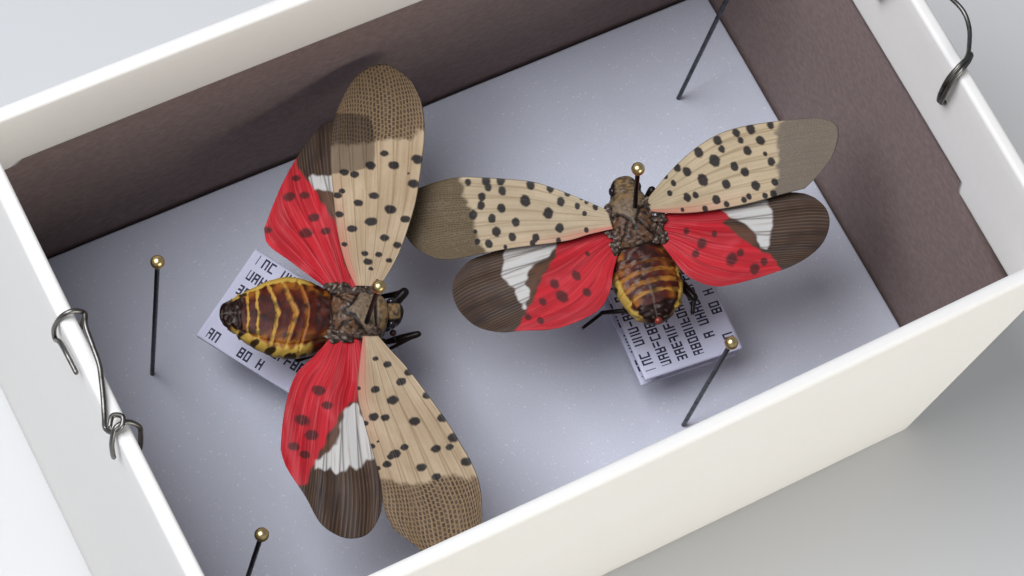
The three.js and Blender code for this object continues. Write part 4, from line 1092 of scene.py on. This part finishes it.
def body(stations, rows, sides, marks, swell=None):
    """A body part: superelliptic rings along x through stations of x, half width, top, bottom and
    sideways shift. marks gives the mask from the points, the sideways share and the height share; swell a
    change of radius."""
    x, half, top, bottom, shift = spline(stations, rows).T[..., None]
    across, upward, _ = circle(sides).T
    y = np.sign(across) * np.abs(across) ** 0.8 + 0 * x
    z = np.sign(upward) * np.abs(upward) ** 0.8 + 0 * x
    points = np.stack([x + 0 * y, shift + half * y, (top + bottom) / 2 + (top - bottom) / 2 * z], -1)
    if swell:
        middle = points.mean(1, keepdims=True)
        points = middle + (points - middle) * (1 + swell(points, y, z))[..., None]
    mask = marks(points, y, z)
    poles = np.repeat(points[[0, -1]].mean(1, keepdims=True), sides, 1)
    points = np.concatenate([poles[:1], points, poles[1:]])
    return patch(points, mask=np.concatenate([mask[:1], mask, mask[-1:]]))


# A leg's parts in order from the body: the radius at the start and end of each, as shares of its thickness
LEG_SHAPES = [(1.0, 0.9), (0.75, 1.0), (0.62, 0.5), (0.45, 0.4)]


def leg(joints, thickness, spined=False):
    """A leg: tapered tubes from joint to joint, swollen at the thigh, with a pair of claws. A spined leg
    has short spines along the outer side of its shin."""
    joints = [np.array(j, float) for j in joints]
    parts = []
    for k, (a, b) in enumerate(zip(joints[:-1], joints[1:])):
        first, last = (thickness * v for v in LEG_SHAPES[k])
        share = np.linspace(0, 1, 14)
        radii = first + (last - first) * share
        if k == 1:
            radii = radii * (1 + 0.35 * np.sin(math.pi * share))
        parts.append(tube(a + (b - a) * share[:, None], radii, 12))
        if k:
            parts.append(ball(a, [first * 1.15] * 3, 8, 12))
    a, b = joints[-2:]
    reach = (b - a) / np.linalg.norm(b - a)
    for side in (-1, 1):
        out = np.cross(reach, UP) * side
        claw = [b, b + reach * 0.15 + out * 0.1, b + reach * 0.3 + out * 0.12 - UP * 0.1]
        parts.append(tube(spline(claw, 8), np.linspace(0.06, 0.02, 8), 8))
    if spined:
        knee, ankle = joints[2:4]
        out = np.array([-0.1, 0.5 * np.sign(knee[1]), 0.0])
        for share in (0.45, 0.62, 0.78, 0.92):
            root = knee + (ankle - knee) * share
            parts.append(tube(np.linspace(root, root + out, 6), np.linspace(0.1, 0.02, 6), 8))
    return parts


def sclerites(front, back, out, seed):
    """The broken-up plates at the wing bases: 17 small uneven ellipsoids strewn along each flank, from front
    to back and about out from the middle, each with a random size, turn and roughness."""
    parts = []
    for side in (-1, 1):
        key = seed + side
        chance = np.random.default_rng(key)
        for share in np.linspace(0, 1, 17):
            x = front + (back - front) * share + chance.uniform(-0.1, 0.1)
            y = side * (out + chance.uniform(-0.8, 0.25))
            centre = np.array([x, y, -0.45 - 0.8 * share + chance.uniform(-0.12, 0.08)])
            radii = (chance.uniform(0.4, 0.8), chance.uniform(0.28, 0.5), chance.uniform(0.1, 0.17))
            lump = ball(centre, radii, 16, 24, turn_about_z(chance.uniform(-70, 70)))
            points = lump["points"]
            rough = 0.2 * noise(points, 0.7, key + 1) + 0.05 * noise(points, 0.25, key + 2)
            points = centre + (points - centre) * (1 + rough)[..., None]
            dark = 0.8 * smooth(0, 0.5, noise(points, 0.5, key + 3))
            pale = 0.75 * smooth(0.15, 0.5, noise(points, 0.45, key + 4))
            warm = smooth(0.2, 0.6, noise(points, 0.8, 5))
            parts.append(patch(points, mask=layered(dark.shape, dark, pale, 0, warm)))
    return parts


def head_marks(front):
    """A tan crown with a black rim in front and black cheeks."""

    def marks(points, y, z):
        rim = smooth(front - 0.45, front - 0.25, points[..., 0]) * (z > -0.9)
        cheek = smooth(0.62, 0.8, np.abs(y))
        fleck = 0.8 * smooth(0.0, 0.45, noise(points, 0.55, 31))
        clear = 0.7 * smooth(0, 0.4, noise(points, 0.9, 32))
        return layered(y.shape, 0.95 * np.maximum(rim, cheek), 0, fleck, clear)

    return marks


def collar_marks(back):
    """The pronotum: olive tan, blotched, with a dark hind edge and dark sides."""

    def marks(points, y, z):
        edge = 0.8 * (1 - smooth(0.05, 0.2, np.abs(points[..., 0] - back)))
        side = 0.7 * smooth(0.75, 0.95, np.abs(y))
        blotch = 0.75 * smooth(0.2, 0.55, noise(points, 0.7, 33))
        clear = 0.6 * smooth(0, 0.5, noise(points, 1.1, 34))
        return layered(y.shape, np.maximum(edge, side), 0, blotch, clear)

    return marks


def thorax_look(lines, shield):
    """Marks and relief of the thorax: a raised tan shield that ends in a point, dark grooves along the
    given lines, and blotched, waxy brown plates round it."""

    def marks(points, y, z):
        within = smooth(-0.1, 0.1, inside(shield, points))
        groove = lines_at(lines, points)
        blotch = smooth(0.05, 0.45, noise(points, 0.6, 35)) * (1 - 0.75 * within)
        waxy = 0.4 * smooth(0.25, 0.6, noise(points, 0.45, 36)) * (1 - within) * (1 - groove)
        dark = np.maximum(groove * 0.95, 0.85 * (z < 0))
        dark = np.maximum(dark, 0.6 * blotch * (1 - within))
        return layered(y.shape, dark, waxy, blotch, 0.8 * (1 - within))

    def swell(points, y, z):
        within = smooth(-0.15, 0.25, inside(shield, points))
        rough = 0.02 * noise(points, 0.8, 37) * (1 - within)
        return (0.025 * within - 0.05 * lines_at(lines, points) + rough) * (z > 0)

    return marks, swell


def abdomen_look(bands, flank, spots, tip, sheen_and_dark_middle):
    """Marks and relief of the abdomen: dull red-brown plates with amber or yellow hind edges along the
    bands, yellow flanks outside the given share of the width, dark flank spots, and a black end behind
    tip. The last argument gives how much painted grey sheen lies over it, from x, y and reach of its
    middle, and then how dark its middle line is. The relief is a step at each band, a crease along each
    flank, and dried lumps on the black end."""

    def band_at(points, which):
        ragged = 0.08 * noise(points, 0.6, 41)
        found = []
        for half, *shares, line in bands:
            found.append(shares[which] * (1 - smooth(0.5 * half, 1.4 * half, near(line, points) + ragged)))
        return np.max(found, axis=0)

    def marks(points, y, z):
        x, sideways, _ = np.moveaxis(points, -1, 0)
        uneven = np.abs(y) - 0.05 * (y < 0) + 0.07 * noise(points, 0.9, 42)
        side = smooth(flank - 0.05, flank + 0.04, uneven) * (z > -0.7)
        side = side * smooth(tip - 1.6, tip - 0.7, x) * (1 - smooth(-5.6, -4.6, x))
        dots = []
        for place, wide in spots:
            short = [place, np.add(place, (0.35, 0.1))]
            dots.append(1 - smooth(0.75, 1.25, near(short, points) / wide))
        end = 1 - smooth(tip - 0.3, tip + 0.25, x + 0.25 * noise(points, 0.8, 43))
        end = end * (1 - 0.8 * side)
        base = smooth(-5.6, -3.6, x) * smooth(-0.3, 0.5, noise(points, 0.7, 44))
        mottle = smooth(0.1, 0.6, noise(points, 1.1, 45)) * (1 - side)
        vx, vy, reach, much, shade = sheen_and_dark_middle
        shadow = shade * bell(sideways + 0.1, 0.6) * smooth(-0.5, 0.3, noise(points, 0.9, 51)) * (z > 0)
        darks = [0.95 * np.max(dots, axis=0), 0.92 * end, 0.85 * base, 0.6 * mottle, shadow]
        yellow = np.maximum(band_at(points, 0) * (1 - end), side * 0.9)
        warm = 0.75 * smooth(0.35, 0.75, np.abs(y)) * smooth(-0.3, 0.4, noise(points, 1.3, 46))
        amber = np.maximum(band_at(points, 1), warm)
        middle = 0.4 * (1 - smooth(0.03, 0.08, np.abs(sideways - 0.15))) * (x < -5.5) * (z > 0)
        # Painted sheen: a soft cloud of pale grey tone about the given middle, standing in for a highlight
        cloud = bell(x - vx, 1.6 * reach) * bell(sideways - vy, reach)
        wax_and_sheen_marks = [middle, much * cloud * smooth(-0.1, 0.4, noise(points, 0.6, 47))]
        wax_and_sheen_marks.append(0.35 * end * smooth(0.25, 0.6, noise(points, 0.5, 48)))
        return layered(y.shape, np.max(darks, axis=0), np.max(wax_and_sheen_marks, axis=0), yellow, amber * (1 - end))

    def swell(points, y, z):
        gaps = np.array([near(band[-1], points) for band in bands])
        steps = (0.02 * bell(gaps, 0.35) - 0.05 * bell(gaps, 0.12)).sum(0)
        crease = -0.04 * bell(np.abs(y) - flank, 0.04) * (z > 0)
        lumps = 0.09 * noise(points, 0.75, 50) * (1 - smooth(tip - 0.4, tip + 0.4, points[..., 0]))
        return steps * (z > -0.5) + crease + 0.012 * noise(points, 1.0, 49) + lumps

    return marks, swell


# Grooves of the thorax as half width and bends, its shield's outline, the abdomen's bands as half width,
# shares of yellow and of amber, and bends, and its flank spots as place and size
MAIN_LINES = [
    (0.12, ((-0.4, 2.3), (-0.9, 1.2), (-1.3, 0.6), (-2.2, 0.05))),
    (0.08, ((1, 2.4), (0.9, 0), (1, -1.5), (1.1, -2.7))),
    (0.2, ((-2, -0.1), (-1.1, -0.6), (-0.6, -1.4), (-0.2, -2), (0.5, -2.7))),
    (0.13, ((-3, 2.1), (-3.25, 1), (-3.2, 0), (-3.1, -1.2), (-2.8, -2.2))),
    (0.1, ((-2.2, 0), (-3.2, 0))),
    (0.1, ((-1.3, 0.8), (-2.2, 1.2), (-2.9, 2.2))),
    (0.1, ((-1.2, -0.9), (-2.1, -1.2), (-2.8, -2.1))),
]
MAIN_SHIELD = [
    (1, 2.5), (-0.3, 2.2), (-0.9, 1.2), (-1.3, 0.55), (-2.4, 0), (-1.1, -0.55), (-0.6, -1.4), (0.5, -2.7),
    (1, -2.7),
]
MAIN_BANDS = [
    (0.09, 0.7, 0.8, ((-10.9, 2.2), (-10.95, 1), (-10.85, 0), (-10.95, -1.2), (-10.8, -2.2))),
    (0.13, 0.8, 0.9, ((-10, 2.6), (-10.1, 1), (-9.95, 0), (-10.05, -1.2), (-9.9, -2.7))),
    (0.16, 0.6, 0.95, ((-9, 2.9), (-8.5, 1.3), (-8.1, 0), (-8.4, -1.2), (-8.8, -3.1))),
    (0.22, 0.3, 0.9, ((-7.7, 3.2), (-6.9, 1), (-6.35, 0.1), (-6.8, -1.3), (-7.4, -3.2))),
    (0.2, 0.0, 0.7, ((-6.2, 3.4), (-5.3, 0.6), (-5.5, -1.2), (-6.1, -3.4))),
]
MAIN_SPOTS = [
    ((-10.4, -2.75), 0.26), ((-9.1, -3.45), 0.2), ((-8.8, -3.5), 0.2), ((-7.3, -4.0), 0.22),
    ((-6.9, -4.0), 0.22), ((-5.8, -3.9), 0.2), ((-7.3, 4.05), 0.16), ((-6.9, 4.1), 0.16),
    ((-5.7, 3.95), 0.2), ((-11.5, 2.0), 0.2), ((-11.6, -1.8), 0.2),
]
SECOND_LINES = [
    (0.15, ((0.8, 2.2), (0.3, 0.9), (-0.4, 0.3), (-1.4, 0.05))),
    (0.15, ((1.1, -2.1), (0.6, -0.9), (-0.2, -0.4), (-1.4, -0.05))),
    (0.12, ((1.5, 2.3), (1.9, 1.2), (2.5, 0), (2.1, -1.9))),
    (0.16, ((-2.7, 2), (-3, 0.8), (-2.9, 0), (-2.7, -2))),
    (0.13, ((-0.6, 0.6), (-1.6, 1.1), (-2.4, 2.1))),
    (0.13, ((-0.6, -0.6), (-1.6, -1.1), (-2.4, -2.1))),
]
SECOND_SHIELD = [
    (2.2, 1.6), (0.9, 2.1), (0.3, 0.85), (-0.4, 0.28), (-1.6, 0), (-0.2, -0.38), (0.6, -0.85),
    (1.2, -1.9), (2.2, -1.6),
]
SECOND_BANDS = [
    (0.17, 0.0, 0.5, ((-4.9, 3.1), (-4.5, 1), (-4.6, -1), (-4.8, -3.1))),
    (0.2, 0.1, 0.85, ((-6, 3.2), (-5.6, 1), (-5.6, -1), (-5.9, -3.2))),
    (0.22, 0.15, 0.85, ((-7.1, 3), (-6.7, 1), (-6.65, -1), (-7, -3))),
    (0.18, 0.35, 0.85, ((-8.1, 2.6), (-7.7, 0.8), (-7.65, -0.8), (-8, -2.7))),
]
SECOND_SPOTS = [((-6.6, -3.3), 0.2), ((-6.4, 3.3), 0.2)]


# Each insect's trunk: stations of x, half width, top, bottom and sideways shift from front to back
MAIN_TRUNK = {
    "head": [
        (3.72, 0.2, -1.0, -1.5, 0.3), (3.62, 0.65, -0.85, -2.2, 0.3), (3.4, 0.95, -0.7, -2.8, 0.3),
        (3, 1.08, -0.6, -3.4, 0.27), (2.4, 1.12, -0.55, -3.9, 0.22), (2, 1.05, -0.6, -4.1, 0.15),
        (1.85, 0.9, -0.75, -4.1, 0.1),
    ],
    "pronotum": [
        (2.2, 0.9, -0.6, -4, 0.1), (2.1, 1.45, -0.4, -4.2, 0.05), (1.8, 2.0, -0.26, -4.5, 0),
        (1.4, 2.4, -0.18, -4.7, -0.1), (1.1, 2.5, -0.22, -4.7, -0.15), (0.95, 2.35, -0.4, -4.6, -0.15),
    ],
    "thorax": [
        (1.0, 2.3, -0.45, -4.6, -0.1), (0.8, 2.45, -0.25, -4.8, -0.1), (0, 2.5, -0.08, -4.8, 0),
        (-1.4, 2.5, -0.1, -4.8, 0), (-2.4, 2.5, -0.5, -4.8, 0), (-3, 2.5, -0.95, -4.8, 0),
        (-3.5, 2.3, -1.35, -4.7, 0), (-3.75, 1.8, -1.9, -4.4, 0),
    ],
    "abdomen": [
        (-2.8, 2.4, -1.5, -4.6, 0), (-3.2, 2.75, -1.22, -4.9, 0), (-4.5, 3.45, -1.15, -5, 0.05),
        (-5.7, 3.85, -1.1, -5, 0.1), (-6.9, 4.05, -1.15, -5, 0.1), (-8.2, 3.85, -1.3, -4.9, 0.1),
        (-9.4, 3.4, -1.5, -4.8, 0.1), (-10.4, 2.85, -1.75, -4.6, 0.1), (-11.3, 2.3, -2, -4.4, 0.15),
        (-12.2, 1.65, -2.2, -4.2, 0.25), (-12.9, 1.15, -2.4, -4, 0.35), (-13.3, 0.7, -2.6, -3.8, 0.45),
        (-13.45, 0.3, -2.9, -3.5, 0.45),
    ],
}
SECOND_TRUNK = {
    "head": [
        (4.8, 0.3, -1.1, -1.6, -0.3), (4.68, 0.85, -0.85, -2.4, -0.3), (4.3, 1.25, -0.65, -3.2, -0.3),
        (3.7, 1.42, -0.55, -3.8, -0.3), (3.1, 1.6, -0.45, -4.1, -0.3), (2.6, 1.5, -0.6, -4.1, -0.25),
    ],
    "pronotum": [
        (3.05, 1.2, -0.6, -3.9, -0.3), (2.85, 1.65, -0.38, -4.2, -0.25), (2.4, 2.0, -0.24, -4.6, -0.15),
        (2, 2.3, -0.18, -4.7, -0.05), (1.7, 2.55, -0.22, -4.7, 0), (1.55, 2.3, -0.4, -4.6, 0),
    ],
    "thorax": [
        (2.5, 1, -0.5, -4.6, 0), (2.1, 1.8, -0.26, -4.6, 0), (1.4, 2.2, -0.12, -4.8, 0),
        (0.2, 2.4, -0.05, -4.8, 0), (-1, 2.4, -0.12, -4.8, 0), (-2, 2.45, -0.5, -4.8, 0),
        (-2.7, 2.45, -0.95, -4.8, 0), (-3.2, 2.2, -1.4, -4.7, 0), (-3.4, 1.7, -1.9, -4.4, 0),
    ],
    "abdomen": [
        (-2.4, 2.4, -1.5, -4.6, 0), (-2.9, 2.75, -1.2, -5, 0), (-4.5, 3.25, -1.15, -5, 0),
        (-5.5, 3.35, -1.15, -5, 0), (-6.5, 3.3, -1.2, -5, -0.05), (-7.5, 3.05, -1.35, -4.9, -0.1),
        (-8.4, 2.7, -1.55, -4.8, -0.1), (-9.1, 2.25, -1.8, -4.5, 0), (-9.7, 1.65, -2.1, -4.2, 0.05),
        (-10.1, 1.1, -2.4, -3.9, 0.1), (-10.35, 0.5, -2.7, -3.6, 0.1),
    ],
}
# Joints of each leg from the body. The larger insect's middle and hind legs are given for its left side
MAIN_LEGS = {
    "foreleg_left": [
        (1.65, 1.1, -4.6), (1.8, 1.3, -6), (4.3, 3.5, -4.2), (2.1, 3.4, -5.4), (0.9, 3.2, -6.2),
    ],
    "foreleg_right": [
        (1.65, -1.1, -4.6), (2.6, -1, -6), (5.6, -0.6, -4.6), (2.3, -1.9, -6.6), (1, -2.4, -7.2),
    ],
    "midleg": [(-0.5, 1.5, -4.6), (-0.5, 1.8, -6), (-1.2, 4.4, -4.8), (-3, 3, -7), (-4.2, 2.6, -7.6)],
    "hindleg": [(-2.2, 1.1, -4.6), (-2.5, 1.4, -6.1), (-5.8, 2.9, -6.1), (-9, 1.2, -6.6), (-10.6, 0.7, -7)],
}
SECOND_LEGS = [
    [(1.9, 1.1, -4.2), (2.1, 1.6, -6), (4.2, 3.2, -4.6), (1.8, 3.2, -5.6)],
    [(1.9, -0.9, -4.2), (2.1, -1.6, -6), (3.8, -3.2, -3.6), (2, -3.4, -5.2)],
    [(-2.2, 1.1, -4.2), (-2.8, 1.6, -6.2), (-7.2, 2.2, -5.9), (-6.6, 4.6, -6.4), (-7.4, 6.7, -7)],
    [(-2.2, -1.4, -4.2), (-2.8, -2.2, -6), (-7.6, -4.4, -5.6), (-8.9, -3.9, -6.1)],
]
BEAK = [(2.9, 0, -4.0), (2.6, 0, -5.0), (1.8, 0, -5.5), (-0.5, 0, -5.7), (-3.4, 0, -5.9)]
SIDES = {"left": 1, "right": -1}
FORELEG_THICK, LEG_THICK, SECOND_LEG_THICK = 0.48, 0.32, 0.42
# How far to the left the larger insect's head sits, and how far its eyes and bulbs stand out from there
HEAD_SHIFT, EYE_OUT, BULB_OUT = 0.25, 1.13, 1.4


def main_insect():
    """The larger insect but for its wings: head, collar, thorax, wing-base plates, banded abdomen, eyes,
    antennae, beak and six legs."""
    looks = {
        "head": (60, 64, head_marks(3.7)),
        "pronotum": (50, 80, collar_marks(1.0)),
        "thorax": (110, 130, *thorax_look(MAIN_LINES, MAIN_SHIELD)),
    }
    for part, look in looks.items():
        skin = THORAX_SKIN if part == "thorax" else HEAD_SKIN
        piece(part + "_skin", [body(MAIN_TRUNK[part], *look)], [skin], [part], MAIN)
    piece("wing_base_plates", sclerites(1.1, -3.3, 2.65, 60), [BASE_SKIN], (), MAIN)
    # A faint painted grey sheen, and no dark middle line
    look = abdomen_look(MAIN_BANDS, 0.8, MAIN_SPOTS, -11.3, (-4, 0.6, 1.0, 0.15, 0.0))
    belly = body(MAIN_TRUNK["abdomen"], 240, 150, *look)
    piece("abdomen_skin", [belly], [ABDOMEN_SKIN], ["abdomen"], MAIN)
    for word, side in SIDES.items():
        eye = ball((2.62, HEAD_SHIFT + side * EYE_OUT, -1.5), (0.46, 0.42, 0.6))
        piece(f"eye_{word}_skin", [eye], [EYE_SKIN], [f"eye_{word}"], MAIN)
        bulb = ball((2.95, HEAD_SHIFT + side * BULB_OUT, -3), (0.33, 0.33, 0.36), 16, 20)
        bend = [(2.95, 1.5, -3), (3.2, 2.1, -3.1), (3.45, 2.8, -3.4)]
        bend = [(x, HEAD_SHIFT + side * y, z) for x, y, z in bend]
        hair = tube(spline(bend, 16), np.linspace(0.07, 0.025, 16), 8)
        hair["material"] = 1
        name, skins = f"antenna_{word}", [BULB_SKIN, LEG_SKIN]
        piece(name + "_skin", [bulb, hair], skins, [name], MAIN)
    beak = tube(spline(BEAK, 50), np.linspace(0.3, 0.16, 50), 14)
    piece("rostrum_skin", [beak], [LEG_SKIN], ["rostrum"], MAIN)
    for kind in ("foreleg", "midleg", "hindleg"):
        for word, side in SIDES.items():
            name = f"{kind}_{word}"
            joints = MAIN_LEGS.get(name) or [(x, side * y, z) for x, y, z in MAIN_LEGS[kind]]
            thickness = FORELEG_THICK if name == "foreleg_left" else LEG_THICK
            parts = leg(joints, thickness, kind == "hindleg")
            piece(name + "_skin", parts, [LEG_SKIN], [name], MAIN)


def second_insect():
    """The smaller insect but for its wings: head, collar, thorax, wing-base plates, banded abdomen with its
    end ring, eyes and four legs."""
    head = body(SECOND_TRUNK["head"], 50, 56, head_marks(4.95))
    collar = body(SECOND_TRUNK["pronotum"], 40, 72, collar_marks(1.6))
    thorax = body(SECOND_TRUNK["thorax"], 110, 120, *thorax_look(SECOND_LINES, SECOND_SHIELD))
    plates = sclerites(1.4, -2.9, 2.6, 80)
    # A stronger painted grey sheen, and a dark middle line
    look = abdomen_look(SECOND_BANDS, 0.87, SECOND_SPOTS, -8.7, (-5.2, 1.3, 1.6, 0.7, 0.8))
    belly = body(SECOND_TRUNK["abdomen"], 220, 140, *look)
    eyes = [ball((3.55, -0.3 + side * 1.3, -1.4), (0.48, 0.34, 0.55)) for side in (-1, 1)]
    tail = ball((-10.25, 0.1, -2.75), (0.42, 0.4, 0.35), 16, 20)
    legs = [part for joints in SECOND_LEGS for part in leg(joints, SECOND_LEG_THICK)]
    parts = (
        ("second_head_skin", [head], HEAD_SKIN, "cuticle"),
        ("second_pronotum_skin", [collar], HEAD_SKIN, "cuticle"),
        ("second_thorax_skin", [thorax], THORAX_SKIN, "cuticle"),
        ("second_wing_base_plates", plates, BASE_SKIN, "cuticle"),
        ("second_abdomen_skin", [belly], ABDOMEN_SKIN, "abdomen"),
        ("second_eyes_skin", eyes, EYE_SKIN, "eye"),
        ("second_tail_skin", [tail], TAIL_SKIN, "abdomen"),
        ("second_legs_skin", legs, LEG_SKIN, "leg"),
    )
    for name, patches, skin, slot in parts:
        piece(name, patches, [skin], ["second_lanternfly"], SECOND)


wings()
main_insect()
second_insect()


# Floor, light and camera, with places in metres

TABLE_REACH = 1.5
# Where the camera stands, and which way its right, its up and its back point, as solved from the tray's
# edges
CAMERA_PLACE = (-0.08193, -0.06567, 0.26401)
CAMERA_AXES = ((0.86815, -0.46318, 0.17828), (0.37889, 0.85054, 0.36472), (-0.32057, -0.24908, 0.91389))
SENSOR_MM, LENS_MM = 36, 92.94
SKY, SKY_POWER = "#C6CEE0", 0.3


def lit(name, place, aim, width, power, tone):
    """A square soft light."""
    data = bpy.data.lights.new(name, "AREA")
    data.size = width
    data.energy = power
    data.color = colour(tone)[:3]
    made = bpy.data.objects.new(name, data)
    turn = Matrix(lean(np.subtract(place, aim)).tolist()).to_4x4()
    made.matrix_world = Matrix.Translation(place) @ turn
    bpy.context.scene.collection.objects.link(made)


def table():
    """A plain pale table top under the tray."""
    mesh = bpy.data.meshes.new("table")
    square = [(x * TABLE_REACH, y * TABLE_REACH, 0) for x, y in ((-1, -1), (1, -1), (1, 1), (-1, 1))]
    mesh.from_pydata(square, [], [(0, 1, 2, 3)])
    mesh.materials.append(TABLE_TOP)
    floor = bpy.data.objects.new("table", mesh)
    bpy.context.scene.collection.objects.link(floor)


table()
# Soft daylight from the back left, and a weaker warm fill from the front
lit("overhead", (-0.185, 0.09, 0.38), (0.01, -0.005, 0.02), 0.25, 2.0, "#F6F8FF")
lit("window", (0.05, -0.55, 0.2), (0, 0, 0.03), 0.3, 2.1, "#FFFBF2")

world = bpy.data.worlds.new("room")
bpy.context.scene.world = world
world.use_nodes = True
world.node_tree.nodes["Background"].inputs[0].default_value = colour(SKY)
world.node_tree.nodes["Background"].inputs[1].default_value = SKY_POWER

camera = bpy.data.objects.new("camera", bpy.data.cameras.new("camera"))
camera.data.sensor_width = SENSOR_MM
camera.data.lens = LENS_MM
camera.data.clip_start, camera.data.clip_end = 0.01, 5
camera.matrix_world = Matrix.Translation(CAMERA_PLACE) @ Matrix(CAMERA_AXES).transposed().to_4x4()
bpy.context.scene.collection.objects.link(camera)
bpy.context.scene.camera = camera
bpy.context.scene.view_settings.view_transform = "Standard"
